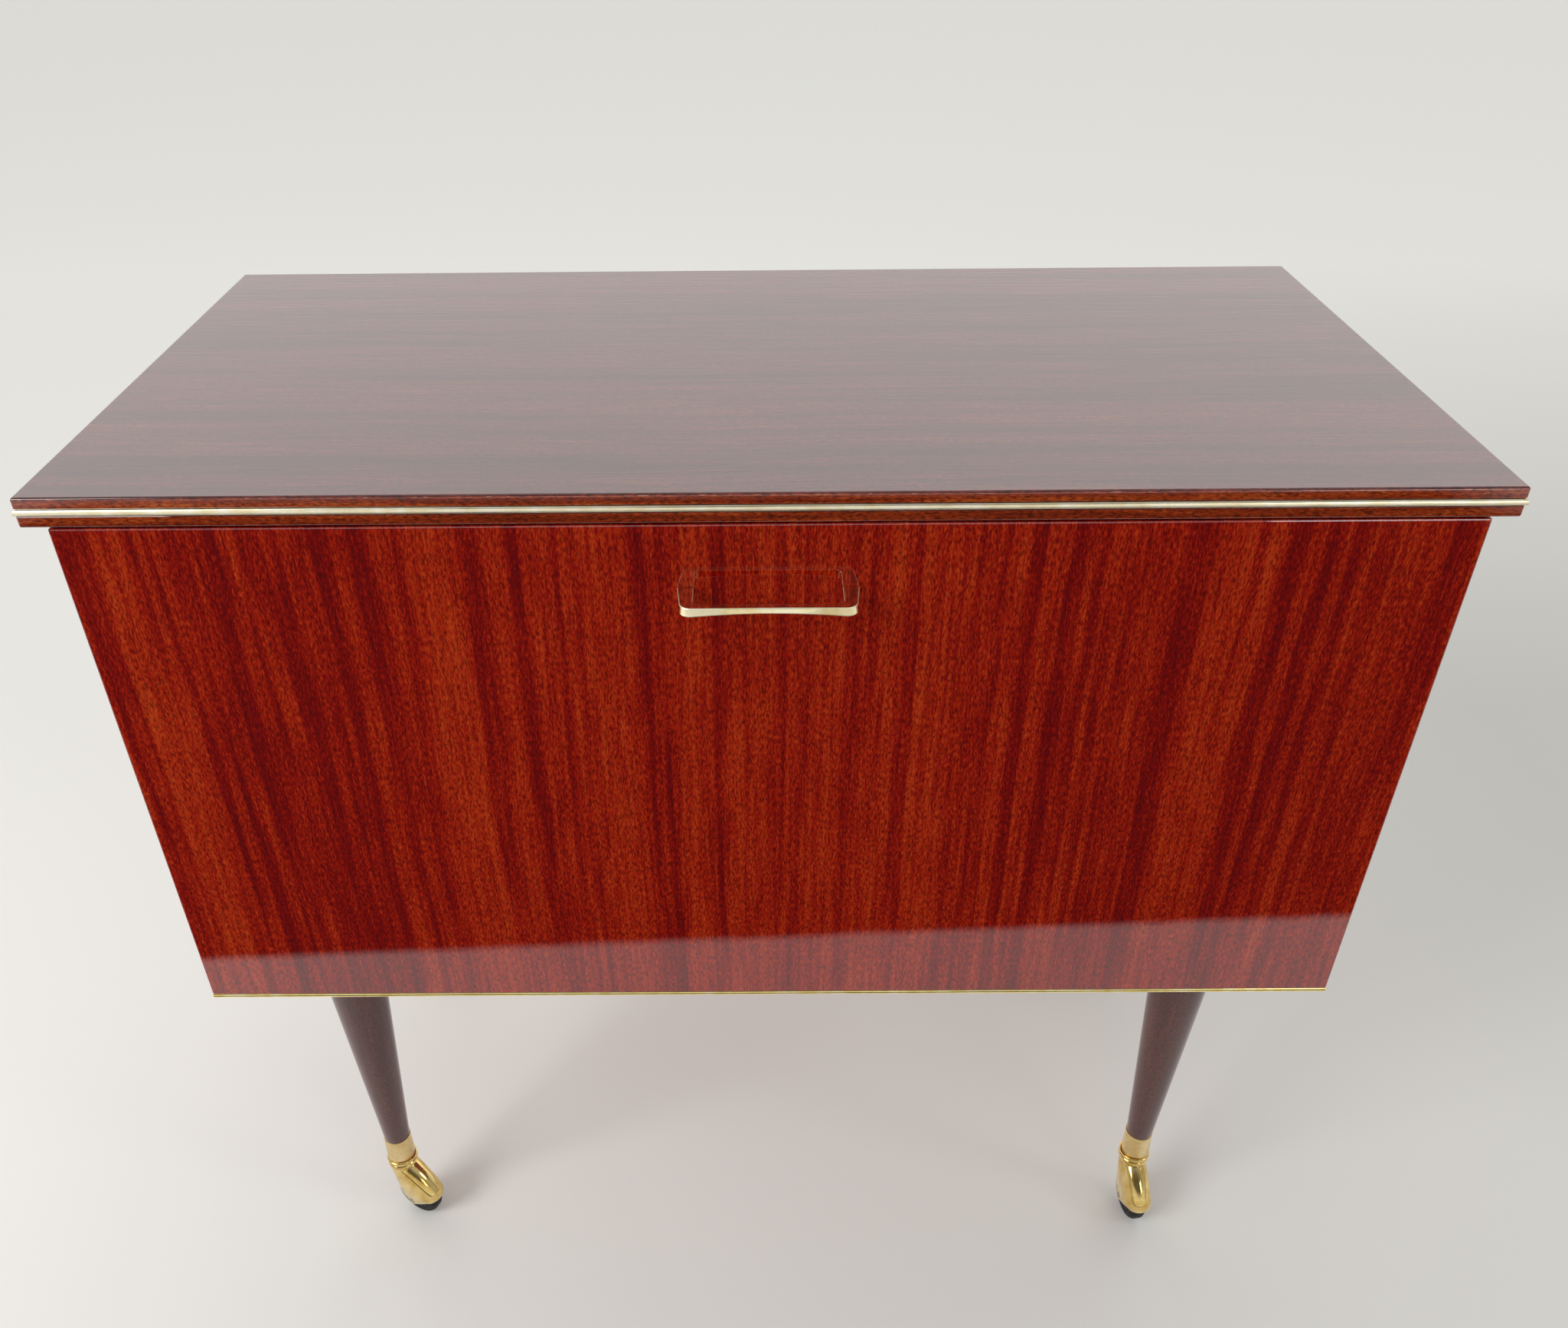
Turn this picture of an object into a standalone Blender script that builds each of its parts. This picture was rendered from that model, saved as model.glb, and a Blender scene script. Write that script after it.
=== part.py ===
"""Drop-front bar cabinet on casters, in metres: +Z is up, the front faces -Y, the floor is z = 0."""

import math

import bmesh
import bpy
from mathutils import Matrix, Vector

MM = 0.001

# Overall sizes
HEIGHT = 733 * MM
TOP_WIDTH = 850 * MM
TOP_DEPTH = 405 * MM
TOP_THICKNESS = 19 * MM
TOP_SIDE_OVERHANG = 15.5 * MM
TOP_BACK_OVERHANG = 5 * MM

# Clearances
SEAT_GAP = 0.3 * MM
BORE_FIT = 0.3 * MM

# Edges of the boards
TOP_ARRIS = 1.5 * MM
FLAP_ARRIS = 1.0 * MM
BOARD_ARRIS = 0.8 * MM

# Brass bead in the edge of the top
BEAD_HEIGHT = 4.0 * MM
BEAD_PROUD = 1.3 * MM
BEAD_SEAT = 2.6 * MM
BEAD_DROP = 7.3 * MM
BEAD_ROUND = 1.4 * MM

# Carcass boards
SIDE_THICKNESS = 18 * MM
BOTTOM_THICKNESS = 18 * MM
BACK_THICKNESS = 6 * MM
BACK_REBATE = 9 * MM
RAIL_THICKNESS = 18 * MM
RAIL_WIDTH = 60 * MM
RAIL_SETBACK = 2.0 * MM

# Flap and its brass strip
FLAP_HEIGHT = 391.9 * MM
FLAP_THICKNESS = 18 * MM
FLAP_TOP_GAP = 0.6 * MM
FLAP_REST_GAP = 0.5 * MM
FLAP_OPEN_ANGLE = math.radians(90)
STRIP_HEIGHT = 5.0 * MM
STRIP_DEPTH = 6.0 * MM

# D-handle
HANDLE_PROJECTION = 25 * MM
HANDLE_LENGTH = 107 * MM
HANDLE_DRAFT = 1.5 * MM
HANDLE_FOOT_WIDTH = 10 * MM
HANDLE_BAR_DEPTH = 5.6 * MM
HANDLE_END_HEIGHT = 5.4 * MM
HANDLE_WAIST_HEIGHT = 3.6 * MM
HANDLE_OUTER_RADIUS = 7 * MM
HANDLE_INNER_RADIUS = 4 * MM
HANDLE_DROP = 43.9 * MM

# Continuous hinge
KNUCKLE_LENGTH = 50 * MM
KNUCKLE_RADIUS = 3.2 * MM
KNUCKLE_GAP = 0.4 * MM
KNUCKLE_CLEARANCE = 0.6 * MM
HINGE_PIN_RADIUS = 1.5 * MM
HINGE_PIN_FIT = 0.05 * MM
HINGE_END_MARGIN = 6 * MM
LEAF_WIDTH = 11 * MM
LEAF_THICKNESS = 1.2 * MM
LEAF_SPLIT = 1.0 * MM
HINGE_SIDES = 10

# Slotted flap stays
STAY_STANDOFF = 12 * MM
STAY_REST_ANGLE = math.radians(15)
STAY_BACK_CLEARANCE = 45 * MM
ARM_WIDTH = 12 * MM
ARM_THICKNESS = 2.5 * MM
ARM_SIDE_PLAY = 0.4 * MM
STUD_RADIUS = 2.5 * MM
STUD_FLANGE_RADIUS = 7 * MM
STUD_FLANGE_THICKNESS = 2.4 * MM
STUD_HEAD_RADIUS = 5 * MM
STUD_HEAD_THICKNESS = 1.6 * MM
STUD_TANG_RADIUS = 3 * MM
STUD_TANG_LENGTH = 9 * MM
SLOT_PLAY = 0.25 * MM
RIVET_RADIUS = 2.2 * MM
RIVET_HEAD_RADIUS = 4.2 * MM
RIVET_HEAD_THICKNESS = 1.4 * MM
BRACKET_THICKNESS = 2 * MM
BRACKET_LENGTH = 34 * MM
BRACKET_FLANGE = 18 * MM
BRACKET_LUG_RADIUS = 7 * MM

# Magnet catch
CATCH_LENGTH = 48 * MM
CATCH_DEPTH = 18 * MM
CATCH_HEIGHT = 13 * MM
CATCH_MAGNET_LENGTH = 38 * MM
CATCH_MAGNET_HEIGHT = 7 * MM
CATCH_MAGNET_DEPTH = 12 * MM
CATCH_MAGNET_PROUD = 1 * MM
STRIKE_LENGTH = 40 * MM
STRIKE_HEIGHT = 12 * MM
STRIKE_THICKNESS = 1.2 * MM
STRIKE_CORNER = 2 * MM

# Mirror, glass shelf and shelf pins
MIRROR_THICKNESS = 4 * MM
MIRROR_MARGIN = 2 * MM
SHELF_DEPTH = 160 * MM
SHELF_THICKNESS = 6 * MM
SHELF_OVER_STAY = 45 * MM
SHELF_CORNER = 10 * MM
PIN_RADIUS = 2.5 * MM
PIN_REACH = 10 * MM
PIN_SHANK = 9 * MM
PIN_FLANGE_RADIUS = 4.5 * MM
PIN_FLANGE_THICKNESS = 1.2 * MM
PIN_INSET = 30 * MM

# Legs, mounting plates and ferrules
LEG_FRONT_INSET = 47 * MM
LEG_BACK_INSET = 47 * MM
LEG_SIDE_INSET = 87.5 * MM
LEG_TOP_RADIUS = 22.2 * MM
LEG_FOOT_RADIUS = 10.8 * MM
LEG_SHOULDER = 2.5 * MM
SPIGOT_RADIUS = 5 * MM
SPIGOT_ENTRY = 11 * MM
PLATE_SIZE = 50 * MM
PLATE_THICKNESS = 2.5 * MM
PLATE_CORNER = 6 * MM
PLATE_HOLE_RADIUS = 2.3 * MM
PLATE_HOLE_INSET = 7 * MM
FERRULE_HEIGHT = 25.5 * MM
FERRULE_WALL = 1.0 * MM
FERRULE_PROUD = 0.4 * MM
FERRULE_FLARE = 0.5 * MM
FERRULE_BASE = 2.0 * MM

# Hooded swivel casters
WHEEL_RADIUS = 21 * MM
WHEEL_WIDTH = 13.6 * MM
TREAD_ROUND = 5 * MM
WHEEL_CLEARANCE = 1.2 * MM
WHEEL_SIDE_PLAY = 1.0 * MM
HOOD_WALL = 1.7 * MM
HOOD_CHEEK = 3.4 * MM
HOOD_RISE = 38.5 * MM
HOOD_CROWN_DROP = 4.2 * MM
HOOD_NOSE_RISE = 8.8 * MM
HOOD_HEEL_BACK = 5 * MM
HOOD_HEEL_DROP = 6.7 * MM
HOOD_NOSE_RIM = 27 * MM
HOOD_AXLE_RIM = 15.5 * MM
HOOD_REAR_INSET = 1 * MM
HOOD_REAR_SLOPE = math.radians(46)
CASTER_TRAIL = 12 * MM
NECK_PROUD = 0.4 * MM
NECK_TAPER = 2.6 * MM
COLLAR_RADIUS = 12.9 * MM
COLLAR_HEIGHT = 10.5 * MM
COLLAR_STEP = 0.9 * MM
SWIVEL_GAP = 0.7 * MM
AXLE_RADIUS = 2.0 * MM
STEM_RADIUS = 4.0 * MM
STEM_SEAT = 12 * MM
STEM_LENGTH = 40 * MM
STEM_CHAMFER = 0.8 * MM
CASTER_TURN = {
    "front_left": math.radians(-28),
    "front_right": math.radians(-83),
    "back_left": math.radians(-60),
    "back_right": math.radians(-102),
}

# Facets on the turned pieces
TURNED_STEPS = 20
SMALL_STEPS = 12
HOOD_RINGS = 10
HOOD_CORNER_POINTS = 8
CAVITY_POINTS = 22

# Planes that the pieces share
FRONT_Y = -(TOP_DEPTH - HANDLE_PROJECTION) / 2
BACK_Y = FRONT_Y + TOP_DEPTH
TOP_UNDERSIDE = HEIGHT - TOP_THICKNESS
CARCASS_TOP = TOP_UNDERSIDE - SEAT_GAP
CARCASS_BACK = BACK_Y - TOP_BACK_OVERHANG
CARCASS_WIDTH = TOP_WIDTH - 2 * TOP_SIDE_OVERHANG
HALF_CARCASS = CARCASS_WIDTH / 2
INNER_HALF = HALF_CARCASS - SIDE_THICKNESS
EDGE_OFFSET = LEAF_SPLIT / 2 + LEAF_THICKNESS + SEAT_GAP
HINGE_Y = FRONT_Y + FLAP_THICKNESS
HINGE_Z = TOP_UNDERSIDE - FLAP_TOP_GAP - FLAP_HEIGHT - EDGE_OFFSET
CARCASS_BOTTOM = HINGE_Z - BOTTOM_THICKNESS
BACK_FACE = CARCASS_BACK - BACK_THICKNESS
MIRROR_FACE = BACK_FACE - SEAT_GAP - MIRROR_THICKNESS
RAIL_UNDERSIDE = CARCASS_TOP - RAIL_THICKNESS

# Maps an outline drawn in (y, z) and extruded along its own Z onto world axes
ACROSS = Matrix(((0, 0, 1, 0), (1, 0, 0, 0), (0, 1, 0, 0), (0, 0, 0, 1)))
# Lays a shape turned about Z along X
ALONG_X = Matrix.Rotation(math.radians(90), 4, "Y")
# Lays a shape turned about Z along Y
ALONG_Y = Matrix.Rotation(math.radians(90), 4, "X")

for old in list(bpy.data.objects):
    bpy.data.objects.remove(old, do_unlink=True)

parts = bpy.data.collections.new("bar_cabinet")
cutters = bpy.data.collections.new("cutters")
bpy.context.scene.collection.children.link(parts)
bpy.context.scene.collection.children.link(cutters)


def make_material(name, colour, roughness, metallic=0.0):
    """One plain Principled material for a kind of piece."""
    material = bpy.data.materials.new(name)
    material.use_nodes = True
    shader = material.node_tree.nodes["Principled BSDF"]
    shader.inputs["Base Color"].default_value = (*colour, 1.0)
    shader.inputs["Roughness"].default_value = roughness
    shader.inputs["Metallic"].default_value = metallic
    return material


MAHOGANY = make_material("lacquered_mahogany_veneer", (0.20, 0.030, 0.012), 0.08)
LEG_WOOD = make_material("stained_beech", (0.10, 0.035, 0.028), 0.2)
PLYWOOD = make_material("stained_plywood", (0.22, 0.10, 0.05), 0.5)
BRASS = make_material("polished_brass", (0.80, 0.60, 0.27), 0.12, 1.0)
STEEL = make_material("zinc_plated_steel", (0.60, 0.60, 0.58), 0.3, 1.0)
RUBBER = make_material("black_wheel_rubber", (0.012, 0.012, 0.014), 0.35)
CATCH_PLASTIC = make_material("brown_catch_plastic", (0.06, 0.035, 0.025), 0.4)
MIRROR_GLASS = make_material("silvered_mirror", (0.85, 0.87, 0.87), 0.02, 1.0)
SHELF_GLASS = make_material("clear_shelf_glass", (0.75, 0.88, 0.84), 0.03)


def box_mesh(name, low, high):
    """A box between two corners."""
    low, high = Vector(low), Vector(high)
    bm = bmesh.new()
    bmesh.ops.create_cube(bm, size=1.0)
    bmesh.ops.scale(bm, vec=high - low, verts=bm.verts)
    bmesh.ops.translate(bm, vec=(low + high) / 2, verts=bm.verts)
    mesh = bpy.data.meshes.new(name)
    bm.to_mesh(mesh)
    bm.free()
    return mesh


def baked_mesh(obj, name):
    """The object's evaluated shape as a clean mesh of its own; the object is removed."""
    bpy.context.view_layer.update()
    evaluated = obj.evaluated_get(bpy.context.evaluated_depsgraph_get())
    mesh = bpy.data.meshes.new_from_object(evaluated)
    mesh.name = name
    bpy.data.objects.remove(obj, do_unlink=True)
    bm = bmesh.new()
    bm.from_mesh(mesh)
    bmesh.ops.remove_doubles(bm, verts=bm.verts, dist=0.00001)
    bmesh.ops.recalc_face_normals(bm, faces=bm.faces)
    bm.to_mesh(mesh)
    bm.free()
    return mesh


def plate_mesh(name, outlines, thickness):
    """A flat plate in the XY plane, centred on z = 0: the first outline is its edge, the rest are holes."""
    curve = bpy.data.curves.new(name, "CURVE")
    curve.dimensions = "2D"
    curve.fill_mode = "BOTH"
    curve.extrude = thickness / 2
    for outline in outlines:
        spline = curve.splines.new("POLY")
        spline.points.add(len(outline) - 1)
        spline.use_cyclic_u = True
        for point, (x, y) in zip(spline.points, outline):
            point.co = (x, y, 0.0, 1.0)
    obj = bpy.data.objects.new(name, curve)
    parts.objects.link(obj)
    mesh = baked_mesh(obj, name)
    bm = bmesh.new()
    bm.from_mesh(mesh)
    bmesh.ops.dissolve_limit(bm, angle_limit=0.001, verts=bm.verts, edges=bm.edges)
    bm.to_mesh(mesh)
    bm.free()
    return mesh


def turned_mesh(name, profile, steps, closed=False):
    """A shape turned about Z from (radius, height) points that run down its outer side."""
    mesh = bpy.data.meshes.new(name)
    edges = [(i, i + 1) for i in range(len(profile) - 1)]
    if closed:
        edges.append((len(profile) - 1, 0))
    mesh.from_pydata([(radius, 0.0, height) for radius, height in profile], edges, [])
    obj = bpy.data.objects.new(name, mesh)
    parts.objects.link(obj)
    screw = obj.modifiers.new("turn", "SCREW")
    screw.steps = screw.render_steps = steps
    screw.use_merge_vertices = True
    screw.merge_threshold = 0.00001
    return baked_mesh(obj, name)


def arc(centre, radius, start, end, count):
    """Points along an arc in degrees, both ends included."""
    angles = [math.radians(start + (end - start) * i / (count - 1)) for i in range(count)]
    return [(centre[0] + radius * math.cos(a), centre[1] + radius * math.sin(a)) for a in angles]


def circle(centre, radius, count):
    """Points round a circle."""
    turns = [math.tau * i / count for i in range(count)]
    return [(centre[0] + radius * math.cos(a), centre[1] + radius * math.sin(a)) for a in turns]


def capsule(start, end, radius, count):
    """A round-ended slot or bar outline along the first axis."""
    return arc((end, 0.0), radius, -90, 90, count) + arc((start, 0.0), radius, 90, 270, count)


def rounded_rectangle(half_x, half_y, radius, count):
    """A rectangle with round corners about the origin."""
    x, y = half_x - radius, half_y - radius
    return (
        arc((x, y), radius, 0, 90, count)
        + arc((-x, y), radius, 90, 180, count)
        + arc((-x, -y), radius, 180, 270, count)
        + arc((x, -y), radius, 270, 360, count)
    )


def add_part(name, mesh, material, location=(0, 0, 0), rotation=(0, 0, 0), parent=None):
    """Puts a named sub-part into the cabinet."""
    obj = bpy.data.objects.new(name, mesh)
    parts.objects.link(obj)
    obj.location = location
    obj.rotation_euler = rotation
    obj.parent = parent
    if not mesh.materials:
        mesh.materials.append(material)
    return obj


def add_axis(name, location, rotation=(0, 0, 0)):
    """An empty on a joint's axis, for the pieces that turn about it."""
    empty = bpy.data.objects.new(name, None)
    parts.objects.link(empty)
    empty.location = location
    empty.rotation_euler = rotation
    return empty


def add_cutter(name, mesh, location=(0, 0, 0), rotation=(0, 0, 0), parent=None):
    """A hidden solid that shapes other pieces."""
    obj = bpy.data.objects.new(name, mesh)
    cutters.objects.link(obj)
    obj.location = location
    obj.rotation_euler = rotation
    obj.parent = parent
    obj.hide_render = True
    obj.display_type = "WIRE"
    return obj


def combine(obj, tool, operation="DIFFERENCE"):
    """Cuts a tool out of a piece, or joins it on."""
    boolean = obj.modifiers.new(tool.name, "BOOLEAN")
    boolean.operation = operation
    boolean.solver = "EXACT"
    boolean.object = tool


def ease_edges(obj, width, segments=2):
    """Rounds a piece's sharp edges."""
    bevel = obj.modifiers.new("arris", "BEVEL")
    bevel.width = width
    bevel.segments = segments
    bevel.limit_method = "ANGLE"
    bevel.angle_limit = math.radians(40)


def shade_round(mesh):
    """Smooth shading that keeps true edges sharp."""
    mesh.shade_smooth()
    mesh.set_sharp_from_angle(angle=math.radians(40))


# Top board, with a groove for the bead round its front and ends
top_panel = add_part(
    "top_panel",
    box_mesh("top_panel", (-TOP_WIDTH / 2, FRONT_Y, TOP_UNDERSIDE), (TOP_WIDTH / 2, BACK_Y, HEIGHT)),
    MAHOGANY,
)
ease_edges(top_panel, TOP_ARRIS)


def edge_band(name, profile, back_y):
    """A band mitred round the top's front and ends, from (reach past the edge, height) points."""
    points = []
    for sign, at_front in ((-1, False), (-1, True), (1, True), (1, False)):
        for reach, height in profile:
            y = FRONT_Y - reach if at_front else back_y
            points.append((sign * (TOP_WIDTH / 2 + reach), y, height))
    count = len(profile)
    faces = [tuple(range(count)), tuple(range(3 * count, 4 * count))]
    for start in (0, count, 2 * count):
        for i in range(count):
            j = (i + 1) % count
            faces.append((start + i, start + j, start + count + j, start + count + i))
    mesh = bpy.data.meshes.new(name)
    mesh.from_pydata(points, [], faces)
    bm = bmesh.new()
    bm.from_mesh(mesh)
    bmesh.ops.recalc_face_normals(bm, faces=bm.faces)
    bm.to_mesh(mesh)
    bm.free()
    return mesh


bead_place = (0, 0, HEIGHT - BEAD_DROP - BEAD_HEIGHT / 2)
groove_half = BEAD_HEIGHT / 2 + SEAT_GAP
groove_back = -BEAD_SEAT - SEAT_GAP
groove_profile = [
    (groove_back, groove_half),
    (2 * BEAD_PROUD, groove_half),
    (2 * BEAD_PROUD, -groove_half),
    (groove_back, -groove_half),
]
groove_mesh = edge_band("bead_groove", groove_profile, BACK_Y + BEAD_PROUD)
combine(top_panel, add_cutter("bead_groove", groove_mesh, bead_place))
nose_reach = BEAD_PROUD - BEAD_ROUND
nose_height = BEAD_HEIGHT / 2 - BEAD_ROUND
bead_profile = [(-BEAD_SEAT, BEAD_HEIGHT / 2)]
bead_profile += arc((nose_reach, nose_height), BEAD_ROUND, 90, 0, 4)
bead_profile += arc((nose_reach, -nose_height), BEAD_ROUND, 0, -90, 4)
bead_profile += [(-BEAD_SEAT, -BEAD_HEIGHT / 2)]
bead_mesh = edge_band("top_bead", bead_profile, BACK_Y)
shade_round(bead_mesh)
add_part("top_bead", bead_mesh, BRASS, bead_place)

# Side boards, rebated for the back and bored for the shelf pins and stay studs
PIVOT_REACH = MIRROR_FACE - HINGE_Y - STAY_STANDOFF - STAY_BACK_CLEARANCE
STAY_RADIUS = PIVOT_REACH / (2 * math.sin((STAY_REST_ANGLE + FLAP_OPEN_ANGLE) / 2))
PIVOT_LEAN = math.asin(STAY_STANDOFF / STAY_RADIUS)
STUD_LEAN = PIVOT_LEAN + STAY_REST_ANGLE
PIVOT = Vector((STAY_RADIUS * math.sin(PIVOT_LEAN), STAY_RADIUS * math.cos(PIVOT_LEAN)))
STUD = Vector((STAY_RADIUS * math.sin(STUD_LEAN), STAY_RADIUS * math.cos(STUD_LEAN)))
STUD_Y = HINGE_Y + STUD.x
STUD_Z = HINGE_Z + STUD.y
SHELF_UNDERSIDE = HINGE_Z + STAY_RADIUS + SHELF_OVER_STAY
PIN_Z = SHELF_UNDERSIDE - SEAT_GAP - PIN_RADIUS
SHELF_BACK = MIRROR_FACE - MIRROR_MARGIN
SHELF_FRONT = SHELF_BACK - SHELF_DEPTH
PIN_YS = (SHELF_FRONT + PIN_INSET, SHELF_BACK - PIN_INSET)


def bore_cutter(name, radius, depth, location):
    """A bore along X, from a side board's inner face into it."""
    mesh = turned_mesh(name, [(0, depth), (radius, depth), (radius, -depth), (0, -depth)], SMALL_STEPS)
    mesh.transform(ALONG_X)
    return add_cutter(name, mesh, location)


for side, sign in (("left", -1), ("right", 1)):
    inner, outer = sign * INNER_HALF, sign * HALF_CARCASS
    board = add_part(
        "side_panel_" + side,
        box_mesh(
            "side_panel_" + side,
            (min(inner, outer), HINGE_Y + FLAP_REST_GAP, CARCASS_BOTTOM),
            (max(inner, outer), CARCASS_BACK, CARCASS_TOP),
        ),
        MAHOGANY,
    )
    ease_edges(board, BOARD_ARRIS)
    rebate = box_mesh(
        "back_rebate_" + side,
        (-INNER_HALF - BACK_REBATE, BACK_FACE - SEAT_GAP, CARCASS_BOTTOM - BACK_REBATE),
        (INNER_HALF + BACK_REBATE, CARCASS_BACK + BACK_REBATE, CARCASS_TOP + BACK_REBATE),
    )
    combine(board, add_cutter("back_rebate_" + side, rebate))
    for i, pin_y in enumerate(PIN_YS):
        hole = bore_cutter(
            f"pin_bore_{side}_{i}", PIN_RADIUS + BORE_FIT, PIN_SHANK + 2 * BORE_FIT, (inner, pin_y, PIN_Z)
        )
        combine(board, hole)
    stud_hole = bore_cutter(
        "stud_bore_" + side,
        STUD_TANG_RADIUS + BORE_FIT,
        STUD_TANG_LENGTH + 2 * BORE_FIT,
        (inner, STUD_Y, STUD_Z),
    )
    combine(board, stud_hole)

# Bottom board, bored for the leg spigots and hollowed for the hinge knuckles
bottom_panel = add_part(
    "bottom_panel",
    box_mesh(
        "bottom_panel",
        (-INNER_HALF + SEAT_GAP, HINGE_Y + EDGE_OFFSET, CARCASS_BOTTOM),
        (INNER_HALF - SEAT_GAP, BACK_FACE - SEAT_GAP, HINGE_Z),
    ),
    MAHOGANY,
)
knuckle_room = KNUCKLE_RADIUS + KNUCKLE_CLEARANCE
knuckle_hollow_mesh = turned_mesh(
    "knuckle_hollow",
    [(0, CARCASS_WIDTH), (knuckle_room, CARCASS_WIDTH), (knuckle_room, -CARCASS_WIDTH), (0, -CARCASS_WIDTH)],
    TURNED_STEPS,
)
knuckle_hollow_mesh.transform(ALONG_X)
knuckle_hollow = add_cutter("knuckle_hollow", knuckle_hollow_mesh, (0, HINGE_Y, HINGE_Z))
combine(bottom_panel, knuckle_hollow)

# Back board in the rebates, and the two rails that carry the top
add_part(
    "back_panel",
    box_mesh(
        "back_panel",
        (-INNER_HALF - BACK_REBATE + SEAT_GAP, BACK_FACE, CARCASS_BOTTOM),
        (INNER_HALF + BACK_REBATE - SEAT_GAP, CARCASS_BACK, CARCASS_TOP),
    ),
    PLYWOOD,
)
rail_front_y = HINGE_Y + RAIL_SETBACK
for place, rail_y in (("front", rail_front_y), ("back", BACK_FACE - SEAT_GAP - RAIL_WIDTH)):
    rail = add_part(
        "top_rail_" + place,
        box_mesh(
            "top_rail_" + place,
            (-INNER_HALF + SEAT_GAP, rail_y, RAIL_UNDERSIDE),
            (INNER_HALF - SEAT_GAP, rail_y + RAIL_WIDTH, CARCASS_TOP),
        ),
        MAHOGANY,
    )
    ease_edges(rail, BOARD_ARRIS)

# Flap: everything on it is modelled from the hinge axis
flap_axis = add_axis("flap_axis", (0, HINGE_Y, HINGE_Z))
flap_panel = add_part(
    "flap_panel",
    box_mesh(
        "flap_panel",
        (-HALF_CARCASS, -FLAP_THICKNESS, EDGE_OFFSET),
        (HALF_CARCASS, 0, EDGE_OFFSET + FLAP_HEIGHT),
    ),
    MAHOGANY,
    parent=flap_axis,
)
ease_edges(flap_panel, FLAP_ARRIS)
strip_rebate = box_mesh(
    "strip_rebate",
    (-CARCASS_WIDTH, -FLAP_THICKNESS - STRIP_DEPTH, EDGE_OFFSET - STRIP_HEIGHT),
    (CARCASS_WIDTH, -FLAP_THICKNESS + STRIP_DEPTH + SEAT_GAP, EDGE_OFFSET + STRIP_HEIGHT + SEAT_GAP),
)
combine(flap_panel, add_cutter("strip_rebate", strip_rebate, parent=flap_axis))
combine(flap_panel, knuckle_hollow)

# Brass strip with a half-round nose, let into the flap's lower front edge
nose_radius = STRIP_HEIGHT / 2
strip_outline = [(STRIP_DEPTH, STRIP_HEIGHT)]
strip_outline += arc((nose_radius, nose_radius), nose_radius, 90, 270, 9)
strip_outline += [(STRIP_DEPTH, 0.0)]
strip_mesh = plate_mesh("flap_bead", [strip_outline], CARCASS_WIDTH)
strip_mesh.transform(ACROSS)
shade_round(strip_mesh)
add_part("flap_bead", strip_mesh, BRASS, location=(0, -FLAP_THICKNESS, EDGE_OFFSET), parent=flap_axis)

# D-handle: a flat bar on two feet, waisted along its front
half_foot = HANDLE_LENGTH / 2
half_bar = half_foot - HANDLE_DRAFT
inner_face = HANDLE_PROJECTION - HANDLE_BAR_DEPTH
inner_half = half_foot - HANDLE_FOOT_WIDTH
outer_corner = (half_bar - HANDLE_OUTER_RADIUS, HANDLE_PROJECTION - HANDLE_OUTER_RADIUS)
inner_corner = (inner_half - HANDLE_INNER_RADIUS, inner_face - HANDLE_INNER_RADIUS)
right_outside = [(half_foot, SEAT_GAP)] + arc(outer_corner, HANDLE_OUTER_RADIUS, 0, 90, 6)
right_inside = arc(inner_corner, HANDLE_INNER_RADIUS, 90, 0, 5) + [(inner_half, SEAT_GAP)]
left_outside = [(-x, y) for x, y in reversed(right_outside)]
left_inside = [(-x, y) for x, y in reversed(right_inside)]
handle_mesh = plate_mesh(
    "handle", [right_outside + left_outside + left_inside + right_inside], HANDLE_END_HEIGHT
)
handle_mesh.transform(Matrix.Rotation(math.radians(180), 4, "Z"))
handle_z = EDGE_OFFSET + FLAP_HEIGHT - HANDLE_DROP
handle_place = (0, -FLAP_THICKNESS, handle_z)
handle = add_part("handle", handle_mesh, BRASS, location=handle_place, parent=flap_axis)
waist_half = inner_half - HANDLE_INNER_RADIUS
waist_dip = (HANDLE_END_HEIGHT - HANDLE_WAIST_HEIGHT) / 2
WAIST_STEPS = 8
for face, sign in (("top", 1), ("under", -1)):
    stations = [-1 + 2 * i / WAIST_STEPS for i in range(WAIST_STEPS + 1)]
    dip = [
        (sign * (HANDLE_END_HEIGHT / 2 - waist_dip * (1 - s * s)), s * waist_half)
        for s in stations[1:-1]
    ]
    ends = [(sign * HANDLE_END_HEIGHT, s * waist_half) for s in (1, -1)]
    edge = [(sign * HANDLE_END_HEIGHT / 2, s * waist_half) for s in (1, -1)]
    waist = plate_mesh("handle_waist_" + face, [dip + edge[:1] + ends + edge[1:]], 3 * HANDLE_BAR_DEPTH)
    waist.transform(Matrix(((0, 1, 0, 0), (0, 0, 1, 0), (1, 0, 0, 0), (0, 0, 0, 1))))
    tool = add_cutter(
        "handle_waist_" + face,
        waist,
        location=(0, -FLAP_THICKNESS - HANDLE_PROJECTION, handle_z),
        parent=flap_axis,
    )
    combine(handle, tool)

# Continuous hinge: two leaves with alternate knuckles on one pin
hinge_span = 2 * (INNER_HALF - HINGE_END_MARGIN)
knuckle_count = 2 * int((hinge_span / KNUCKLE_LENGTH - 1) / 2) + 1
hinge_length = knuckle_count * KNUCKLE_LENGTH
bore_radius = (HINGE_PIN_RADIUS + HINGE_PIN_FIT) / math.cos(math.pi / HINGE_SIDES)
leaf_start = KNUCKLE_RADIUS + KNUCKLE_GAP
neck_start = (KNUCKLE_RADIUS + bore_radius) / 2
half_knuckle = (KNUCKLE_LENGTH - KNUCKLE_GAP) / 2
knuckle_tube = turned_mesh(
    "knuckle",
    [
        (KNUCKLE_RADIUS, half_knuckle),
        (KNUCKLE_RADIUS, -half_knuckle),
        (bore_radius, -half_knuckle),
        (bore_radius, half_knuckle),
    ],
    HINGE_SIDES,
    closed=True,
)
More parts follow.
